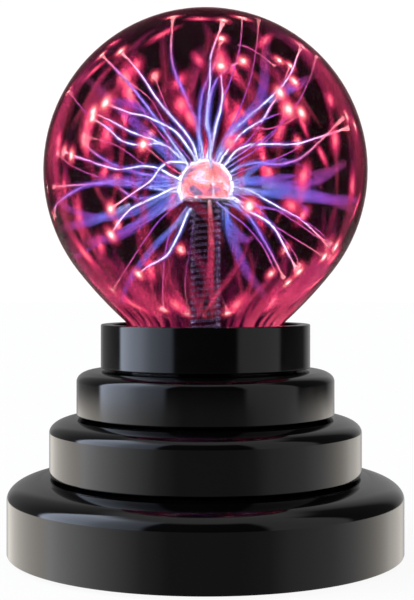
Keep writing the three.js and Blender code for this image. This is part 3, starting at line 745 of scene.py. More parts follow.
# Soft patches where the discharge spreads on the glass: clock angle and reach as above, the near or far
# side, half length and half width in millimetres, and lean from upright in degrees.
PATCHES = [
    (0.4, 36.2, 1, 2.6, 1.1, 8),
    (39.4, 17.5, -1, 2.8, 0.9, 5),
    (24, 15.6, -1, 3.4, 0.7, 0),
    (12.8, 15.9, -1, 2.2, 1.2, 0),
    (6.4, 24.3, 1, 2.2, 1.1, -20),
    (347.6, 21.7, 1, 1.8, 1.1, 60),
    (343.5, 25, -1, 2.0, 1.2, 40),
    (60.9, 12.5, 1, 1.5, 1.1, 0),
    (106.4, 21.2, 1, 1.9, 1.3, 10),
    (103, 17.5, 1, 2.4, 0.8, 25),
    (83, 31.5, 1, 3.2, 0.9, 0),
    (120, 34.4, -1, 2.6, 1.3, -35),
    (126.4, 32.9, -1, 4.6, 1.4, -35),
    (130, 29, -1, 3.0, 1.1, -40),
    (158, 31.4, -1, 4.2, 1.1, -12),
    (152, 33, 1, 2.4, 0.8, 5),
    (163, 37.9, 1, 2.0, 1.2, 15),
    (122.7, 42.2, 1, 1.8, 0.9, 60),
    (193, 32, -1, 4.2, 1.0, 10),
    (209, 34, 1, 3.4, 1.2, 25),
    (226, 38, -1, 4.0, 1.6, 35),
    (240, 34, 1, 3.5, 1.6, 20),
    (300, 33, -1, 3.6, 1.4, -25),
    (318, 36, 1, 3.6, 1.1, -30),
    (331, 36, 1, 2.2, 1.3, -40),
    (20, 34, 1, 2.2, 1.2, -12),
    (35, 37.5, 1, 1.8, 1.0, -35),
    (92, 41.5, -1, 2.2, 0.9, 85),
    (68, 39, -1, 3.6, 0.7, 70),
    (256, 30, 1, 3.0, 1.4, 8),
    (285, 30, 1, 3.2, 1.3, -10),
]

# How far inside the globe's outline things lie, in millimetres: the wall's glow, the patches and the
# arcs' surfaces, and the arcs' middle lines.
WALL_GLOW_INSET = 0.75
GLOW_INSET = 0.95
ARC_INSET = 1.2
# Where an arc leaves the ball: how deep its root lies in it, and its reach and depth as seen from the front.
ROOT_DEPTH = 0.2
ROOT_REACH = 6.2
ROOT_FORWARD = 2.0
SEEDED_ARCS = 30
SEEDED_STREAKS = 26
WISPS = 104
CROWDED_WISPS = 48


def from_front(clock, reach, depth):
    """The point this far towards the viewer that shows at a clock angle and reach from the ball's centre."""
    studio = settings_of("plasma_studio")
    eye = Vector((0, -studio.distance, studio.height))
    angle = math.radians(clock)
    flat = BALL_CENTRE + Vector((reach * math.cos(angle), 0, reach * math.sin(angle)))
    return eye.lerp(flat, 1 - depth / studio.distance)


def depth_at_glass(clock, reach, side, inset):
    """How far towards the viewer (or away, for side -1) the line of sight meets the globe's inside."""
    limit = GLOBE_RADIUS - inset
    near, far = 0.0, limit
    if (from_front(clock, reach, 0.0) - GLOBE_CENTRE).length > limit:
        return 0.0
    for _ in range(24):
        tried = (near + far) / 2
        if (from_front(clock, reach, side * tried) - GLOBE_CENTRE).length > limit:
            far = tried
        else:
            near = tried
    return side * near


def inside_glass(point, inset):
    """The point, drawn in where it would pass through the globe's wall."""
    offset = point - GLOBE_CENTRE
    limit = GLOBE_RADIUS - inset
    return GLOBE_CENTRE + offset * min(1.0, limit / offset.length)


def smooth_path(points, per_bend=5):
    """A Catmull-Rom curve through the points."""
    ends = [points[0] * 2 - points[1], *points, points[-1] * 2 - points[-2]]
    made = []
    for a, b, c, d in zip(ends, ends[1:], ends[2:], ends[3:]):
        for k in range(per_bend):
            t = k / per_bend
            bend = b * 2 + (c - a) * t + (a * 2 - b * 5 + c * 4 - d) * t**2 + (b * 3 - a - c * 3 + d) * t**3
            made.append(bend / 2)
    return [*made, points[-1]]


def listed_path(side, bends):
    """An arc's smoothed path from inside the ball's skin to the glass."""
    first_clock = bends[0][0]
    last_clock, last_reach = bends[-1]
    sign = 1 if side > 0 else -1
    end_depth = depth_at_glass(last_clock, last_reach, sign, ARC_INSET) * abs(side)
    points = []
    if bends[0][1] < 10:
        start = from_front(first_clock, ROOT_REACH, ROOT_FORWARD * sign) - BALL_CENTRE
        points.append(BALL_CENTRE + start.normalized() * (BALL_RADIUS - ROOT_DEPTH))
    for clock, reach in bends:
        grown = max(0.0, (reach - BALL_RADIUS) / (last_reach - BALL_RADIUS))
        depth = ROOT_FORWARD * sign * (1 - grown) + end_depth * grown**1.3
        points.append(inside_glass(from_front(clock, reach, depth), ARC_INSET))
    return smooth_path(points)


def seeded_path(direction, picker):
    """A wandering path from the ball to the glass, for the sides that the listed arcs leave thin."""
    axis = direction.orthogonal().normalized()
    axis.rotate(Matrix.Rotation(picker.uniform(0, 2 * math.pi), 3, direction))
    sway = picker.uniform(0.15, 0.5)
    points = []
    for t in (0.0, 0.2, 0.4, 0.65, 0.85, 1.0):
        bent = direction + axis * sway * math.sin(math.pi * t) * (1 - t * 0.5)
        reach = BALL_RADIUS - ROOT_DEPTH + t * (GLOBE_RADIUS - BALL_RADIUS - 1.4)
        points.append(inside_glass(BALL_CENTRE + bent.normalized() * reach * (1 + 0.1 * t), ARC_INSET))
    return smooth_path(points)


def add_streamer(mesh, path, half_width, half_depth, facing, flare=0.0, rise=0.0):
    """Adds a closed tube of oval section along a path, tapered, and flared where it meets the glass. A
    flat one is soft at its edges, and comes up over its first stretch where rise is given."""
    along_layer = mesh.verts.layers.float["along"]
    glow_layer = mesh.verts.layers.float["glow"]
    flat = half_width > 1.8 * half_depth
    sides = 16 if flat else 8
    rings = []
    count = len(path) - 1
    for i, point in enumerate(path):
        t = i / count
        ahead = path[min(i + 1, count)] - path[max(i - 1, 0)]
        across = ahead.cross(facing).normalized()
        through = across.cross(ahead).normalized()
        taper = (0.35 + 0.65 * math.sin(math.pi * min(1.0, 0.1 + 0.75 * t))) if flat else 1.15 - 0.4 * t
        spread = flare * max(0.0, (t - 0.95) / 0.05) ** 2
        ring = []
        for k in range(sides):
            angle = 2 * math.pi * k / sides
            width = half_width * taper + spread
            depth = half_depth * (taper if not flat else 1) + spread
            place = point + across * width * math.cos(angle) + through * depth * math.sin(angle)
            vertex = mesh.verts.new(inside_glass(place, GLOW_INSET))
            vertex[along_layer] = t
            fade = abs(math.sin(angle)) ** 2.6 * min(1.0, 2.5 * (1.04 - t)) if flat else 1.0
            vertex[glow_layer] = fade * min(1.0, t / rise) if rise else fade
            ring.append(vertex)
        rings.append(ring)
    for lower, upper in zip(rings, rings[1:]):
        for k in range(sides):
            mesh.faces.new((lower[k], lower[(k + 1) % sides], upper[(k + 1) % sides], upper[k]))
    mesh.faces.new(rings[0][::-1])
    mesh.faces.new(rings[-1])


def add_patch(mesh, centre, radius, direction, half_length, half_width, lean, cool=0.0):
    """Adds a thin lens that lies against a sphere and fades out to its rim. A cool one has no white core."""
    along_layer = mesh.verts.layers.float["along"]
    glow_layer = mesh.verts.layers.float["glow"]
    direction = direction.normalized()
    up = Vector((0, 0, 1)) - direction * direction.z
    up = up.normalized() if up.length > 1e-3 else direction.orthogonal().normalized()
    up.rotate(Matrix.Rotation(math.radians(lean), 3, direction))
    side = direction.cross(up)
    rings, sides, thickness = 8, 16, 0.12

    def place(t, angle, lift):
        spread = up * half_length * t * math.cos(angle) + side * half_width * t * math.sin(angle)
        return centre + (direction * radius + spread).normalized() * (radius - lift)

    faces = []
    for lift in (0.0, thickness):
        pole = mesh.verts.new(place(0, 0, lift))
        pole[along_layer] = cool
        pole[glow_layer] = 1.0
        made = []
        for r in range(1, rings):
            t = r / rings
            ring = []
            for k in range(sides):
                vertex = mesh.verts.new(place(t, 2 * math.pi * k / sides, lift))
                vertex[along_layer] = cool + (1 - cool) * t
                vertex[glow_layer] = 0.72 * math.exp(-12 * t * t) + 0.28 * (1 - t * t) ** 2
                ring.append(vertex)
            made.append(ring)
        faces.append((pole, made))
    rim = []
    for k in range(sides):
        vertex = mesh.verts.new(place(1, 2 * math.pi * k / sides, thickness / 2))
        vertex[along_layer] = 1.0
        vertex[glow_layer] = 0.0
        rim.append(vertex)
    for layer, (pole, made) in enumerate(faces):
        circles = [*made, rim]
        for k in range(sides):
            n = (k + 1) % sides
            fan = [pole, circles[0][k], circles[0][n]]
            mesh.faces.new(fan if layer else fan[::-1])
            for inner, outer in zip(circles, circles[1:]):
                quad = [inner[k], outer[k], outer[n], inner[n]]
                mesh.faces.new(quad if layer else quad[::-1])


def glowing_mesh():
    mesh = bmesh.new()
    mesh.verts.layers.float.new("along")
    mesh.verts.layers.float.new("glow")
    return mesh


def glowing_piece(name, mesh, material):
    bmesh.ops.recalc_face_normals(mesh, faces=mesh.faces)
    data = bpy.data.meshes.new(name)
    mesh.to_mesh(data)
    mesh.free()
    piece = bpy.data.objects.new(name, data)
    bpy.context.scene.collection.objects.link(piece)
    return complete(piece, "base", material, smooth=80, weighted=False)


def seeded_runs(seed):
    """The arcs that no list places: their kind, path and which way a ribbon faces."""
    picker = random.Random(seed)
    golden = math.pi * (3 - math.sqrt(5))
    runs = []
    for i in range(SEEDED_ARCS):
        height = 0.85 - 1.5 * (i + 0.5) / SEEDED_ARCS
        angle = golden * i + picker.uniform(-0.4, 0.4)
        level = math.sqrt(1 - height**2)
        direction = Vector((level * math.cos(angle), 0.45 + level * math.sin(angle) * 0.9, height))
        direction.normalize()
        kind = picker.choice(["violet", "violet", "blue", "veil", "veil", "veil"])
        turn = Vector((picker.uniform(-1, 1), picker.uniform(-1, 1), picker.uniform(-1, 1)))
        runs.append((kind, seeded_path(direction, picker), turn))
    return runs


def build_arcs(settings):
    """Every arc, in one piece for each kind, with a faint halo round the brightest."""
    hot = settings.strength
    white, blue = settings.white[:], settings.blue[:]
    violet, pink = settings.violet[:], settings.pink[:]
    kinds = {
        # half width and half depth in cores, flare at the glass in millimetres, colours and density
        "white": (1.05, 1.05, 0.45, [(0, white), (0.62, "#dfe2ff"), (0.84, "#dcb4f2"), (0.98, pink)], 1.0),
        "blue": (1.2, 1.2, 0.45, [(0, white), (0.3, "#94a2ff"), (0.65, "#b07ae6"), (0.96, pink)], 0.85),
        "violet": (0.8, 0.8, 0.4, [(0, "#a7a2f4"), (0.4, violet), (0.8, "#d85a9c"), (1, pink)], 0.6),
        "pink": (0.8, 0.8, 0.3, [(0, "#e070a8"), (0.6, "#d0488c"), (1, "#ff8aa0")], 0.7),
        "veil": (7.0, 1.2, 0.0, [(0, "#b8c0ff"), (0.3, blue), (0.65, violet), (1, "#e0508c")], 0.34),
    }
    meshes = {kind: glowing_mesh() for kind in kinds}
    meshes["halo"] = glowing_mesh()
    front = Vector((0, 1, 0))
    runs = [(kind, listed_path(side, bends), front) for kind, side, *bends in ARCS]
    runs += seeded_runs(settings.seed)
    for kind, path, facing in runs:
        width, depth, flare, _, _ = kinds[kind]
        add_streamer(meshes[kind], path, width * settings.core, depth * settings.core, facing, flare)
        if kind in ("white", "blue"):
            add_streamer(meshes["halo"], path[:-1], 4.6 * settings.core, 2.4 * settings.core, facing)
    for kind, (_, _, _, stops, density) in kinds.items():
        brightness = hot * (1.25 if kind == "white" else 0.85)
        glow = glow_material(f"{kind}_discharge", stops, brightness, density)
        glowing_piece(f"discharge_{kind}", meshes[kind], glow)
    halo_stops = [(0, "#7f92ff"), (0.5, "#6a5ae8"), (0.8, violet), (1, "#d0407c")]
    halo = glow_material("discharge_halo", halo_stops, hot * 0.7, 0.26)
    glowing_piece("discharge_halo", meshes["halo"], halo)


def build_patches(settings):
    """Soft spots at the arcs' ends, streaks on the glass, and the hot spots on the ball."""
    picker = random.Random(settings.seed + 1)
    mesh = glowing_mesh()
    ends = [(bends[-1], side) for kind, side, *bends in ARCS if kind != "veil"]
    radius = GLOBE_RADIUS - GLOW_INSET
    for (clock, reach), side in ends:
        depth = depth_at_glass(clock, reach, 1 if side > 0 else -1, GLOW_INSET)
        direction = from_front(clock, reach, depth * min(1.0, abs(side))) - GLOBE_CENTRE
        size = picker.uniform(2.8, 3.8)
        add_patch(mesh, GLOBE_CENTRE, radius, direction, size * 1.25, size, picker.uniform(-25, 25))
    for kind, path, _ in seeded_runs(settings.seed):
        if kind != "veil":
            size = picker.uniform(2.4, 3.4)
            add_patch(mesh, GLOBE_CENTRE, radius, path[-1] - GLOBE_CENTRE, size * 1.25, size, 0)
    for clock, reach, side, half_length, half_width, lean in PATCHES:
        depth = depth_at_glass(clock, reach, side, GLOW_INSET)
        direction = from_front(clock, reach, depth) - GLOBE_CENTRE
        add_patch(mesh, GLOBE_CENTRE, radius, direction, half_length * 2.5, half_width * 2.8, lean, 0.3)
    for _ in range(SEEDED_STREAKS):
        direction = Vector((picker.gauss(0, 1), abs(picker.gauss(0, 1)) + 0.2, picker.uniform(-0.9, 1.4)))
        long, wide = picker.uniform(4, 9), picker.uniform(1.6, 3.4)
        add_patch(mesh, GLOBE_CENTRE, radius, direction, long, wide, picker.uniform(-35, 35), 0.35)
    stops = [
        (0.0, "#fff6f4"),
        (0.12, "#ffd2cc"),
        (0.3, "#ff7c82"),
        (0.55, "#e63c6c"),
        (1.0, "#a42058"),
    ]
    patches = glow_material("discharge_on_glass", stops, settings.strength * 1.2, 0.9)
    glowing_piece("discharge_patches", mesh, patches)

    hot = glowing_mesh()
    spots = [(0.27, 0.04, 1.3, 1.2), (0.27, -0.26, 2.2, 0.5), (0.5, 0.12, 0.4, 1.6)]
    spots += [(-0.32, -0.42, 0.8, 0.8), (0.02, 0.62, 0.5, 0.9), (-0.45, 0.28, 0.9, 0.5)]
    for turn in (0, 125, 235):
        for x, z, half_length, half_width in spots:
            direction = Vector((x, -math.sqrt(max(0.05, 1 - x * x - z * z)), z))
            direction.rotate(Matrix.Rotation(math.radians(turn), 3, "Z"))
            add_patch(hot, BALL_CENTRE, BALL_RADIUS + 0.14, direction, half_length, half_width, 0)
    hot_stops = [(0, "#ffffff"), (0.4, "#f3e4ff"), (1, "#d9a0e0")]
    hot_glow = glow_material("discharge_hot_spots", hot_stops, settings.strength * 1.0, 0.85)
    glowing_piece("discharge_hot_spots", hot, hot_glow)


def build_stem_streaks(settings):
    """The salmon sheets that run down the outside of the stem's tube."""
    mesh = glowing_mesh()
    lean = Vector((0.9, -(TUBE_RADIUS + 0.6), 0))
    for turn, length_down in ((0, 27), (185, 22)):
        spin = Matrix.Rotation(math.radians(turn), 3, "Z")
        path = []
        for i in range(13):
            t = i / 12
            sway = Vector((0.25 * math.sin(5 * t) + 0.7 * t, 0, BALL_FLAT - 0.2 - length_down * t))
            path.append(spin @ (lean + sway))
        add_streamer(mesh, path, 1.0, 0.12, spin @ Vector((0, 1, 0)))
    stops = [(0, "#ffd0d8"), (0.1, "#ff7c90"), (0.5, "#e4446e"), (1, "#9c2458")]
    streaks = glow_material("discharge_on_stem", stops, settings.strength * 0.65, 0.55, 0.5, 3.5)
    glowing_piece("discharge_stem_streaks", mesh, streaks)


def wall_glow_material(strength):
    """The faint pink wisps that the discharge leaves all over the glass: they run from pole to neck,
    thicken towards the neck, and leave most of the wall dark. Near the neck they are painted denser at the
    left and right, where the front view's outline is: painted outline glow."""
    material, tree = new_material("wall_glow_wisps")
    place = add_node(tree, "TexCoord").outputs["Object"]
    split = add_node(tree, "SeparateXYZ", {0: place})
    level = add_node(tree, "CombineXYZ", {0: split.outputs[0], 1: split.outputs[1]})
    round_axis = add_node(tree, "VectorMath", {0: level.outputs[0]}, operation="NORMALIZE")
    turn = add_node(tree, "SeparateXYZ", {0: round_axis.outputs[0]})
    height = split.outputs[2]
    lengthwise = maths(tree, "MULTIPLY", height, 1 / (120 * MM))
    spread = add_node(tree, "CombineXYZ", {0: turn.outputs[0], 1: turn.outputs[1], 2: lengthwise})
    fine = add_node(tree, "TexNoise", {"Vector": spread.outputs[0], "Scale": 9.0, "Detail": 2.0})
    broad = add_node(tree, "TexNoise", {"Vector": spread.outputs[0], "Scale": 1.9, "Detail": 2.0})
    wisp = map_range(tree, fine.outputs["Fac"], 0.50, 0.72, 0.0, 1.0, "SMOOTHSTEP")
    cloud = map_range(tree, broad.outputs["Fac"], 0.46, 0.68, 0.0, 1.0, "SMOOTHSTEP")
    low = map_range(tree, height, 0.074, 0.054, 0.0, 1.0, "SMOOTHSTEP")
    sparse = maths(tree, "MULTIPLY", wisp, maths(tree, "MULTIPLY", cloud, 0.3))
    dense_wisp = map_range(tree, fine.outputs["Fac"], 0.43, 0.66, 0.06, 1.0, "SMOOTHSTEP")
    # Denser at the left and right sides, where the outline is seen from the front: painted outline glow.
    painted_outline_glow = map_range(tree, maths(tree, "ABSOLUTE", turn.outputs[0]), 0.3, 0.8, 0.3, 1.0, "SMOOTHSTEP")
    dense = maths(tree, "MULTIPLY", dense_wisp, low)
    dense = maths(tree, "MULTIPLY", dense, maths(tree, "MULTIPLY", painted_outline_glow, 0.8))
    density = maths(tree, "MAXIMUM", sparse, dense)
    shade = ramp(
        tree,
        density,
        [(0.0, "#5a1450"), (0.3, "#cc3264"), (0.8, "#ff6484")],
    )
    return light_only(material, shade, strength, density)


def wall_point(turn, height, inset):
    """A point inside the globe's wall, by its turn round the axis in radians and its height."""
    outline = globe_meridian(inset, 120)
    below = next(i for i, point in enumerate(outline) if point[1] <= height)
    upper, lower = outline[below - 1], outline[below]
    t = (upper[1] - height) / (upper[1] - lower[1])
    radius = upper[0] + (lower[0] - upper[0]) * t
    return Vector((radius * math.sin(turn), -radius * math.cos(turn), height))


def build_wisps(settings):
    """Soft threads that run up and down the inside of the glass, crowded near the neck. Each is a pair of
    crossed ribbons, so that it looks as wide from every side."""
    picker = random.Random(settings.seed + 2)
    mesh = glowing_mesh()
    for i in range(WISPS):
        crowded = i < CROWDED_WISPS
        turn = picker.uniform(0, 2 * math.pi)
        foot = picker.uniform(54, 60) if crowded else picker.uniform(60, 118)
        rise = picker.uniform(8, 26) if crowded else picker.uniform(14, 42)
        top = min(foot + rise, GLOBE_TOP - 6)
        drift = picker.uniform(-0.3, 0.3)
        inset = picker.uniform(1.5, 2.6)
        wave = picker.uniform(0, 2 * math.pi)
        path = []
        for k in range(17):
            t = k / 16
            bend = drift * t + 0.04 * math.sin(wave + 5 * t)
            path.append(wall_point(turn + bend, foot + (top - foot) * t, inset))
        radial = Vector((math.sin(turn), -math.cos(turn), 0))
        sideways = Vector((math.cos(turn), math.sin(turn), 0))
        width = picker.uniform(0.8, 1.9)
        for facing in (radial, sideways):
            add_streamer(mesh, path, width, 0.05, facing, rise=0.08 if crowded else 0.4)
    stops = [(0, "#ff5c80"), (0.5, "#f2447a"), (1, "#b8307e")]
    glow = glow_material("discharge_wisps", stops, settings.strength * 0.75, 0.085)
    glowing_piece("discharge_wisps", mesh, glow)


def build_wall_glow(settings):
    """The faint shell of wisps just inside the whole globe, down into its neck."""
    foot = 53.0
    outer = globe_meridian(WALL_GLOW_INSET, 32, foot)
    inner = globe_meridian(WALL_GLOW_INSET + 0.2, 32, foot)
    glow = turned("discharge_wall_glow", outer + inner[::-1], 96)
    complete(glow, "base", wall_glow_material(0.6 * settings.strength), smooth=80)


# ---- Stepped base -----------------------------------------------------------------------------------

# Each tier: fall of its top towards the rounded shoulder, and the shoulder's width and depth.
TIERS = {
    "base_shell": (0.5, 8.5, 4.8),
    "tier_three_ring": (0.4, 6.5, 3.4),
    "tier_two_ring": (0.3, 4.0, 2.6),
}
SPIGOT_STEP = 2.3
COLLAR_SPIGOT_STEP = 3.6
TIER_GAP = 0.3


def tier_profile(node, hole, edge):
    """A tier's outline: its wall, shoulder and top plate, and the spigot that plugs into the tier below."""
    fall, across, down = TIERS[node]
    low, high = span(node)
    radius = outer_radius(node)
    top = high.z
    plugged = node != "base_shell"
    foot = low.z + (SPIGOT_DEPTH if plugged else 0)
    centre = (radius - across, top - fall - down)
    profile = [(radius - edge, foot), (radius - edge * 0.3, foot + edge * 0.3), (radius, foot + edge)]
    profile += arc(centre, (across, down), 0, 90, 20)
    profile += [(hole + edge, top - 0.02), (hole + edge * 0.3, top - edge * 0.3), (hole, top - edge)]
    profile += [(hole, top - WALL)]
    profile += arc(centre, (across - WALL, down - WALL), 90, 0, 8)
    if not plugged:
        return profile + [(radius - WALL, foot)]
    spigot = radius - SPIGOT_STEP
    bore = spigot - WALL
    return profile + [
        (radius - WALL, foot + WALL),
        (bore, foot + WALL),
        (bore, foot - SPIGOT_DEPTH),
        (spigot, foot - SPIGOT_DEPTH),
        (spigot, foot),
    ]


def build_collar(settings):
    low, high = span("collar")
    radius = outer_radius("collar")
    foot = low.z + SPIGOT_DEPTH
    rim = 2.5
    edge = settings.edge
    seat = foot + 4.6
    hole = globe_meridian(0)[-1][0] + 0.6
    spigot = radius - COLLAR_SPIGOT_STEP
    profile = [
        (radius, foot),
        (radius, high.z),
        (radius - rim, high.z),
        (radius - rim, seat),
        (hole, seat),
        (hole, seat - WALL),
        (spigot - WALL, seat - WALL),
        (spigot - WALL, low.z),
        (spigot, low.z),
        (spigot, foot),
    ]
    collar = turned("collar_moulded", rounded(profile, (0, 1, 2), edge), 128)
    gloss = finish_material("polished_moulded_abs")
    complete(collar, "base", gloss, ["collar"])

    low, high = span("neck_gasket")
    outer = outer_radius("neck_gasket")
    profile = [
        (hole + 0.2, low.z),
        (outer, low.z),
        (outer, high.z - 0.7),
        (outer - 1, high.z),
        (hole + 0.2, high.z),
    ]
    gasket = turned("neck_gasket_moulded", rounded(profile, (2, 3, 4), 0.4), 96)
    rubber = finish_material("moulded_nitrile_rubber")
    complete(gasket, "base", rubber, ["neck_gasket"])


def build_tiers(settings):
    gloss = finish_material("polished_moulded_abs")
    collar_spigot = outer_radius("collar") - COLLAR_SPIGOT_STEP
    two_spigot = outer_radius("tier_two_ring") - SPIGOT_STEP
    for node, above in (("tier_two_ring", collar_spigot), ("tier_three_ring", two_spigot)):
        profile = tier_profile(node, above + TIER_GAP, settings.edge)
        ring = turned(node.replace("ring", "moulded"), profile, 144)
        complete(ring, "base", gloss, [node])


PANEL_FACE = 44.6
PANEL_HALF_WIDTH = 17.4
PANEL_FOOT = 2.1
PANEL_TOP = 13.5
PANEL_THICKNESS = 2.0
LEDGE_HALF_WIDTH = 13.2
SWITCH_BODY = (12.9, 8.2)
SOCKET_NOZZLE = 3.3
ROCKER_TILT = 11.0
ROCKER_HALF_LENGTH = 5.3


def build_base_shell(settings):
    """The bottom step, with the flat recess at the back for the switch and the socket."""
    hole = outer_radius("tier_three_ring") - SPIGOT_STEP + TIER_GAP
    shell = turned("base_moulded", tier_profile("base_shell", hole, settings.edge), 180)
    foot = span("base_shell")[0].z
    radius = outer_radius("base_shell")
    backing = block(
        "backing",
        (-PANEL_HALF_WIDTH - 1, PANEL_FACE - PANEL_THICKNESS, foot),
        (PANEL_HALF_WIDTH + 1, PANEL_FACE, PANEL_TOP + 1),
    )
    ledges = block(
        "ledges",
        (-LEDGE_HALF_WIDTH, PANEL_FACE - 1, foot),
        (LEDGE_HALF_WIDTH, PANEL_FACE + 1.8, PANEL_TOP + 1),
    )
    combine(shell, [backing, ledges], "UNION")
    recess = block(
        "recess", (-PANEL_HALF_WIDTH, PANEL_FACE, PANEL_FOOT), (PANEL_HALF_WIDTH, radius + 1, PANEL_TOP)
    )
    bevelled(recess, 1.0, 4)
    switch = middle("power_rocker")
    half_x, half_z = SWITCH_BODY[0] / 2 + 0.3, SWITCH_BODY[1] / 2 + 0.3
    back = PANEL_FACE - PANEL_THICKNESS - 4
    switch_hole = block(
        "switch_hole",
        (switch.x - half_x, back, switch.z - half_z),
        (switch.x + half_x, PANEL_FACE + 1, switch.z + half_z),
    )
    socket = middle("dc_socket_pin")
    socket_hole = rod(
        "socket_hole",
        (socket.x, back, socket.z),
        (socket.x, PANEL_FACE + 1, socket.z),
        SOCKET_NOZZLE + 0.3,
    )
    combine(shell, [recess, switch_hole, socket_hole], "DIFFERENCE")
    gloss = finish_material("polished_moulded_abs")
    complete(shell, "base", gloss, ["base_shell"])


def build_rear():
    """The switch's framed housing, its rocker, and the power socket."""
    low, high = span("switch_body")
    bezel_foot = PANEL_FACE + 0.3
    middle_z = (low.z + high.z) / 2
    centre_x = (low.x + high.x) / 2
    half_x, half_z = SWITCH_BODY[0] / 2, SWITCH_BODY[1] / 2
    bezel = block("switch_housing", (low.x, bezel_foot, low.z), high)
    bevelled(bezel, 0.45, 3)
    body = block(
        "body",
        (centre_x - half_x, low.y, middle_z - half_z),
        (centre_x + half_x, high.y - 0.5, middle_z + half_z),
    )
    combine(bezel, [body], "UNION")
    rocker_low, rocker_high = span("power_rocker")
    pocket_x, pocket_z = ROCKER_HALF_LENGTH + 0.75, 3.3 + 0.35
    pivot = span("rocker_pivot_pin")
    pivot_y = (pivot[0].y + pivot[1].y) / 2
    pocket = block(
        "pocket",
        (centre_x - pocket_x, pivot_y - 4.6, middle_z - pocket_z),
        (centre_x + pocket_x, high.y + 1, middle_z + pocket_z),
    )
    combine(bezel, [pocket], "DIFFERENCE")
    satin = finish_material("spark_textured_abs")
    complete(bezel, "base", satin, ["switch_body"])
    build_rocker(Vector((centre_x, pivot_y, middle_z)), rocker_high.z - rocker_low.z)

    low, high = span("dc_socket")
    front = PANEL_FACE - PANEL_THICKNESS - 0.3
    socket = middle("dc_socket_pin")
    jack = block("socket_moulded", low, (high.x, front, high.z))
    bevelled(jack, 0.4, 2)
    barrel = rod("barrel", (socket.x, front - 0.5, socket.z), (socket.x, high.y, socket.z), SOCKET_NOZZLE, 64)
    bevelled(barrel, 0.25, 3)
    combine(jack, [barrel], "UNION")
    bore = rod("bore", (socket.x, low.y + 2, socket.z), (socket.x, high.y + 1, socket.z), 1.9)
    combine(jack, [bore], "DIFFERENCE")
    complete(jack, "base", satin, ["dc_socket"])

    low, high = span("dc_socket_pin")
    radius = outer_radius("dc_socket_pin")
    pin = rod("socket_pin", (socket.x, low.y, socket.z), (socket.x, high.y, socket.z), radius, 24)
    bevelled(pin, 0.25, 3)
    complete(pin, "base", finish_material("nickel_plated_strip"), ["dc_socket_pin"])


def build_rocker(pivot, height):
    """The rocker: a shallow valley outside and a round belly inside, seen from above, drawn out upwards."""
    half = ROCKER_HALF_LENGTH
    outline = [(-half, 0.9), (-half, 3.2)]
    for i in range(1, 12):
        t = i / 12
        outline.append((-half * (1 - 2 * t), 3.2 - 3.0 * t * (1 - t)))
    outline += [(half, 3.2), (half, 0.9)]
    outline += arc((0, 0), (3, 3), 0, -180, 16)
    clear_selection()
    bpy.ops.mesh.primitive_plane_add(size=1)
    rocker = bpy.context.object
    rocker.name = "rocker_moulded"
    bpy.ops.object.mode_set(mode="EDIT")
    bpy.ops.mesh.merge(type="CENTER")
    here = Vector((0, 0, 0))
    for i, (x, y) in enumerate(outline):
        there = Vector((x, y, -height / 2))
        if i == 0:
            bpy.ops.transform.translate(value=there - here)
        else:
            bpy.ops.mesh.extrude_region_move(TRANSFORM_OT_translate={"value": there - here})
        here = there
    bpy.ops.mesh.select_all(action="SELECT")
    bpy.ops.mesh.edge_face_add()
    bpy.ops.mesh.extrude_region_move(TRANSFORM_OT_translate={"value": (0, 0, height)})
    close_up()
    bpy.ops.object.mode_set(mode="OBJECT")
    bevelled(rocker, 0.3, 3, 50)
    bore = rod("bore", (0, 0, -height), (0, 0, height), 0.95, 32)
    combine(rocker, [bore], "DIFFERENCE")
    rocker.data.transform(Matrix.Rotation(math.radians(ROCKER_TILT), 4, "Z"))
    rocker.data.transform(Matrix.Translation(pivot))
    plastic = finish_material("half_polished_nylon")
    complete(rocker, "rocker", plastic, ["power_rocker"])


# ---- Underside --------------------------------------------------------------------------------------


def build_feet():
    """Four rubber feet, each a disc with a rounded lower edge and a shallow dish."""
    rubber = finish_material("moulded_nitrile_rubber")
    for name in ("rear_right", "rear_left", "front_left", "front_right"):
        node = f"foot_{name}"
        low, high = span(node)
        centre = middle(node)
        radius = outer_radius(node)
        profile = [(0, low.z + 0.25), (radius * 0.55, low.z + 0.15), (radius * 0.7, low.z)]
        profile += [(radius - 0.4, low.z), (radius - 0.1, low.z + 0.15), (radius, low.z + 0.5)]
        profile += [(radius, high.z), (0, high.z)]
        foot = turned(f"rubber_foot_{name}", profile, 48)
        foot.data.transform(Matrix.Translation((centre.x, centre.y, 0)))
        complete(foot, "base", rubber, [node])


def build_screws():
    """The cover's screws and the door's: domed heads with a cross recess."""
    zinc = finish_material("zinc_plated_steel")
    nodes = [(f"cover_screw_{i}", "base", 1.0) for i in (1, 2, 3, 4)] + [("door_screw", "door", 0.85)]
    for node, body, shank in nodes:
        low, high = span(node)
        centre = middle(node)
        radius = outer_radius(node)
        head_top = low.z + (1.0 if body == "base" else 0.55)
        profile = [(0, low.z), (radius * 0.6, low.z), (radius * 0.85, low.z + 0.12), (radius, low.z + 0.38)]
        profile += [(radius, head_top), (shank, head_top), (shank, high.z - 1.2), (0, high.z)]
        screw = turned(f"{node}_turned", profile, 32)
        slot, deep = radius * 0.55, 0.4
        bars = [
            block("bar", (-slot, -0.25, low.z - 1), (slot, 0.25, low.z + deep)),
            block("bar", (-0.25, -slot, low.z - 1), (0.25, slot, low.z + deep)),
        ]
        combine(screw, bars, "DIFFERENCE")
        screw.data.transform(Matrix.Translation((centre.x, centre.y, 0)))
        complete(screw, body, zinc, [node])


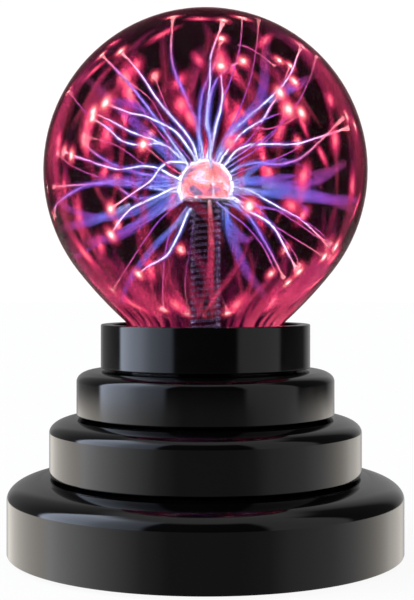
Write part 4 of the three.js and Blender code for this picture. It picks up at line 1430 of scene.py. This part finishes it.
# Which finish each carried-over CAD node keeps, by the start of its name.
NODE_FINISHES = {
    "bottom_cover": "spark_textured_abs",
    "battery_door": "spark_textured_abs",
    "contact_spring": "nickel_plated_strip",
    "contact_plate": "nickel_plated_strip",
    "circuit_board": "solder_masked_laminate",
    "board_screw": "zinc_plated_steel",
    "transformer_core": "sintered_ferrite",
    "transformer_winding": "enamelled_copper_wire",
    "heat_sink": "rolled_aluminium",
    "power_transistor": "filled_epoxy_moulding",
    "smoothing_capacitor": "shrunk_pet_sleeve",
    "film_capacitor": "dipped_epoxy",
    "rocker_pivot_pin": "zinc_plated_steel",
    "switch_terminal": "nickel_plated_strip",
    "high_voltage_lead": "extruded_white_pvc",
    "battery_lead_positive": "extruded_red_pvc",
    "battery_lead_negative": "extruded_black_pvc",
    "switch_lead": "extruded_red_pvc",
    "socket_lead": "extruded_black_pvc",
}


def cell_material():
    """A printed foil sleeve on a steel can: a dark end, a broad teal field, and bare metal on the ends."""
    material, tree = new_material("cell_foil_sleeve")
    split = add_node(tree, "SeparateXYZ", {0: object_place(tree)})
    ends = map_range(tree, maths(tree, "ABSOLUTE", split.outputs[0]), 0.0, 0.024, 0.0, 1.0)
    shade = ramp(
        tree,
        ends,
        [(0, "#2f6f86"), (0.62, "#2f6f86"), (0.63, "#17181b"), (0.85, "#b9b6ae")],
        "CONSTANT",
    )
    grain = add_node(tree, "TexNoise", {"Vector": object_place(tree, (0.2, 1, 1)), "Scale": 1 / (0.8 * MM)})
    shader = add_node(
        tree,
        "BsdfPrincipled",
        {
            "Base Color": shade,
            "Metallic": 0.5,
            "Roughness": map_range(tree, grain.outputs["Fac"], 0.3, 0.7, 0.22, 0.38),
        },
    )
    use_surface(tree, shader)
    return material


def dress_cad_nodes():
    """Gives every CAD node that still shows its own finish."""
    sleeve = cell_material()
    for name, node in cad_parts.items():
        finish = next((f for start, f in NODE_FINISHES.items() if name.startswith(start)), None)
        if finish:
            made = finish_material(finish)
        elif name.startswith("cell_"):
            made = sleeve
        else:
            continue
        wear(node, made)


# ---- Studio -----------------------------------------------------------------------------------------

BRIGHTEST = 5.0
COOL = (0.82, 0.92, 1.12)
PLAIN = (1.0, 1.0, 1.0)
WARM = (1.06, 1.0, 0.92)

# The light round the object by direction: degrees round from the front (left is negative), brightness
# and tint. The first list is the room with its softboxes, the second is the pale table below.
ROOM_LIGHT = [
    (-180, 0.15, PLAIN),
    (-160, 0.4, PLAIN),
    (-150, 0.25, PLAIN),
    (-107, 0.12, PLAIN),
    (-103, 4.6, COOL),
    (-74, 3.1, COOL),
    (-60, 1.7, COOL),
    (-47, 1.2, COOL),
    (-37, 0.9, COOL),
    (-33, 0.04, PLAIN),
    (33, 0.03, PLAIN),
    (37, 0.5, PLAIN),
    (85, 0.6, PLAIN),
    (90, 0.05, PLAIN),
    (132, 0.06, PLAIN),
    (143, 0.3, PLAIN),
    (160, 0.5, PLAIN),
    (180, 0.2, PLAIN),
]
TABLE_LIGHT = [
    (-180, 0.2, PLAIN),
    (-165, 0.5, PLAIN),
    (-152, 1.7, WARM),
    (-104, 2.3, WARM),
    (-97, 2.5, PLAIN),
    (-74, 1.7, PLAIN),
    (-60, 1.15, PLAIN),
    (-47, 0.72, PLAIN),
    (-35, 0.34, PLAIN),
    (-20, 0.15, PLAIN),
    (20, 0.15, PLAIN),
    (35, 0.2, PLAIN),
    (47, 0.4, PLAIN),
    (74, 0.6, PLAIN),
    (89, 0.9, PLAIN),
    (106, 1.35, WARM),
    (128, 1.9, WARM),
    (150, 1.4, WARM),
    (164, 0.5, PLAIN),
    (180, 0.2, PLAIN),
]


def light_ramp(tree, turn, lights):
    stops = []
    for angle, brightness, tint in lights:
        stops.append(((angle + 180) / 360, tuple(brightness / BRIGHTEST * t for t in tint)))
    return ramp(tree, turn, stops)


def light_room(settings):
    """Lights the world as a plain room: a big softbox on the left, a weaker one on the right, a pale
    table below, and a plain backdrop for the camera."""
    world = bpy.data.worlds.new("studio")
    bpy.context.scene.world = world
    world.use_nodes = True
    tree = world.node_tree
    tree.nodes.clear()
    direction = add_node(tree, "TexCoord").outputs["Generated"]
    split = add_node(tree, "SeparateXYZ", {0: direction})
    x, y, z = split.outputs
    toward_front = maths(tree, "MULTIPLY", y, -1.0)
    turn = map_range(tree, maths(tree, "ARCTAN2", x, toward_front), -math.pi, math.pi, 0.0, 1.0)
    room = light_ramp(tree, turn, ROOM_LIGHT)
    table = light_ramp(tree, turn, TABLE_LIGHT)
    table_edge = [math.sin(math.radians(e)) for e in (-4.6, -7.0)]
    below = map_range(tree, z, table_edge[0], table_edge[1], 0.0, 1.0, "SMOOTHSTEP")
    walls = add_node(tree, "Mix", {0: below, "A": room, "B": table}, data_type="RGBA")
    ceiling = tuple(0.55 / BRIGHTEST for _ in range(3)) + (1,)
    high = map_range(tree, z, 0.80, 0.92, 0.0, 1.0, "SMOOTHSTEP")
    light = add_node(tree, "Mix", {0: high}, data_type="RGBA")
    tree.links.new(walls.outputs["Result"], light.inputs[6])
    light.inputs[7].default_value = ceiling
    lit = add_node(tree, "Background", {"Color": light.outputs[2], "Strength": BRIGHTEST})
    seen = add_node(tree, "Background", {"Color": (*settings.backdrop, 1), "Strength": 1.02})
    camera = add_node(tree, "LightPath").outputs["Is Camera Ray"]
    both = add_node(tree, "MixShader", {0: camera, 1: lit.outputs[0], 2: seen.outputs[0]})
    add_node(tree, "OutputWorld", {"Surface": both.outputs[0]})


def floor_material():
    """White-painted board: pale and flat, with a soft shadow where the base stands. It is see-through
    from underneath, so the underside can be looked at."""
    material, tree = new_material("white_painted_board")
    grain = add_node(tree, "TexNoise", {"Vector": object_place(tree), "Scale": 1 / (2 * MM)})
    shade = ramp(tree, grain.outputs["Fac"], [(0.3, "#f0efee"), (0.7, "#f4f3f2")])
    paint = add_node(tree, "BsdfDiffuse", {"Color": shade})
    lift = add_node(tree, "Emission", {"Color": linear("#ffffff"), "Strength": 1.04})
    lit = add_node(tree, "MixShader", {0: 0.9, 1: paint.outputs[0], 2: lift.outputs[0]})
    hidden = add_node(tree, "BsdfTransparent")
    under = add_node(tree, "NewGeometry").outputs["Backfacing"]
    shader = add_node(tree, "MixShader", {0: under, 1: lit.outputs[0], 2: hidden.outputs[0]})
    use_surface(tree, shader)
    material.cycles.emission_sampling = "NONE"
    return material


def build_studio(settings):
    light_room(settings)
    clear_selection()
    bpy.ops.mesh.primitive_circle_add(vertices=64, radius=4.0, fill_type="NGON")
    floor = bpy.context.object
    floor.name = "studio_floor"
    floor.data.materials.append(floor_material())
    floor.visible_diffuse = False
    floor.visible_glossy = False
    floor.visible_transmission = False
    floor.visible_shadow = False

    data = bpy.data.cameras.new("studio_camera")
    data.lens = settings.lens
    data.sensor_width = 36
    data.shift_x = 0.0025
    data.shift_y = -0.03
    camera = bpy.data.objects.new("studio_camera", data)
    camera.location = (0, -settings.distance * MM, settings.height * MM)
    camera.rotation_euler = (math.pi / 2, 0, 0)
    bpy.context.scene.collection.objects.link(camera)
    bpy.context.scene.camera = camera

    scene = bpy.context.scene
    scene.view_settings.view_transform = "Standard"
    scene.cycles.transparent_max_bounces = 64
    scene.cycles.max_bounces = 8
    scene.cycles.sample_clamp_indirect = 6.0
    scene.cycles.use_denoising = True


# ---- Operators and panel ----------------------------------------------------------------------------


class PLASMA_OT_globe(bpy.types.Operator):
    """Turns the globe's glass"""

    bl_idname = "plasma_ball.globe"
    bl_label = "Globe"

    def execute(self, context):
        build_globe(context.scene.plasma_globe)
        return {"FINISHED"}


class PLASMA_OT_electrode(bpy.types.Operator):
    """Turns the electrode's glass ball, its glowing lining and its stem tube"""

    bl_idname = "plasma_ball.electrode"
    bl_label = "Electrode"

    def execute(self, context):
        build_electrode(context.scene.plasma_discharge)
        return {"FINISHED"}


class PLASMA_OT_stem(bpy.types.Operator):
    """Winds the stem's coil and turns its sleeve"""

    bl_idname = "plasma_ball.stem"
    bl_label = "Stem"

    def execute(self, context):
        build_stem(context.scene.plasma_discharge)
        return {"FINISHED"}


class PLASMA_OT_arcs(bpy.types.Operator):
    """Draws the glowing arcs between the ball and the globe"""

    bl_idname = "plasma_ball.arcs"
    bl_label = "Arcs"

    def execute(self, context):
        build_arcs(context.scene.plasma_discharge)
        return {"FINISHED"}


class PLASMA_OT_patches(bpy.types.Operator):
    """Lays the soft glowing patches on the glass, the ball and the stem"""

    bl_idname = "plasma_ball.patches"
    bl_label = "Glowing patches"

    def execute(self, context):
        build_patches(context.scene.plasma_discharge)
        build_stem_streaks(context.scene.plasma_discharge)
        build_wisps(context.scene.plasma_discharge)
        build_wall_glow(context.scene.plasma_discharge)
        return {"FINISHED"}


class PLASMA_OT_collar(bpy.types.Operator):
    """Turns the collar and the rubber seat inside it"""

    bl_idname = "plasma_ball.collar"
    bl_label = "Collar and seat"

    def execute(self, context):
        build_collar(context.scene.plasma_base)
        return {"FINISHED"}


class PLASMA_OT_tiers(bpy.types.Operator):
    """Turns the second and third steps"""

    bl_idname = "plasma_ball.tiers"
    bl_label = "Upper steps"

    def execute(self, context):
        build_tiers(context.scene.plasma_base)
        return {"FINISHED"}


class PLASMA_OT_base(bpy.types.Operator):
    """Turns the bottom step and cuts its rear panel"""

    bl_idname = "plasma_ball.base"
    bl_label = "Bottom step"

    def execute(self, context):
        build_base_shell(context.scene.plasma_base)
        return {"FINISHED"}


class PLASMA_OT_rear(bpy.types.Operator):
    """Models the switch, its rocker and the power socket"""

    bl_idname = "plasma_ball.rear"
    bl_label = "Switch and socket"

    def execute(self, context):
        build_rear()
        return {"FINISHED"}


class PLASMA_OT_underside(bpy.types.Operator):
    """Models the feet and the screws"""

    bl_idname = "plasma_ball.underside"
    bl_label = "Feet and screws"

    def execute(self, context):
        build_feet()
        build_screws()
        return {"FINISHED"}


class PLASMA_OT_inside(bpy.types.Operator):
    """Gives the parts inside the base their finishes"""

    bl_idname = "plasma_ball.inside"
    bl_label = "Inside parts"

    def execute(self, context):
        dress_cad_nodes()
        return {"FINISHED"}


class PLASMA_OT_studio(bpy.types.Operator):
    """Sets up the floor, the light and the camera"""

    bl_idname = "plasma_ball.studio"
    bl_label = "Studio"

    def execute(self, context):
        build_studio(context.scene.plasma_studio)
        return {"FINISHED"}


OPERATORS = (
    PLASMA_OT_studio,
    PLASMA_OT_globe,
    PLASMA_OT_electrode,
    PLASMA_OT_stem,
    PLASMA_OT_arcs,
    PLASMA_OT_patches,
    PLASMA_OT_collar,
    PLASMA_OT_tiers,
    PLASMA_OT_base,
    PLASMA_OT_rear,
    PLASMA_OT_underside,
    PLASMA_OT_inside,
)


class PLASMA_PT_panel(bpy.types.Panel):
    """Lists the settings and the pieces"""

    bl_label = "Plasma ball"
    bl_idname = "PLASMA_PT_panel"
    bl_space_type = "VIEW_3D"
    bl_region_type = "UI"
    bl_category = "Plasma ball"

    def draw(self, context):
        for group, settings_class in SETTINGS.items():
            box = self.layout.box()
            for name in settings_class.__annotations__:
                box.prop(getattr(context.scene, group), name)
        for operator in OPERATORS:
            self.layout.operator(operator.bl_idname)


def register():
    for made in (*SETTINGS.values(), *OPERATORS, PLASMA_PT_panel):
        bpy.utils.register_class(made)
    for group, settings_class in SETTINGS.items():
        setattr(bpy.types.Scene, group, bpy.props.PointerProperty(type=settings_class))


def unregister():
    for group in SETTINGS:
        delattr(bpy.types.Scene, group)
    for made in reversed((*SETTINGS.values(), *OPERATORS, PLASMA_PT_panel)):
        bpy.utils.unregister_class(made)


def main():
    register()
    for operator in OPERATORS:
        group, name = operator.bl_idname.split(".")
        getattr(getattr(bpy.ops, group), name)()


if __name__ == "__main__":
    main()
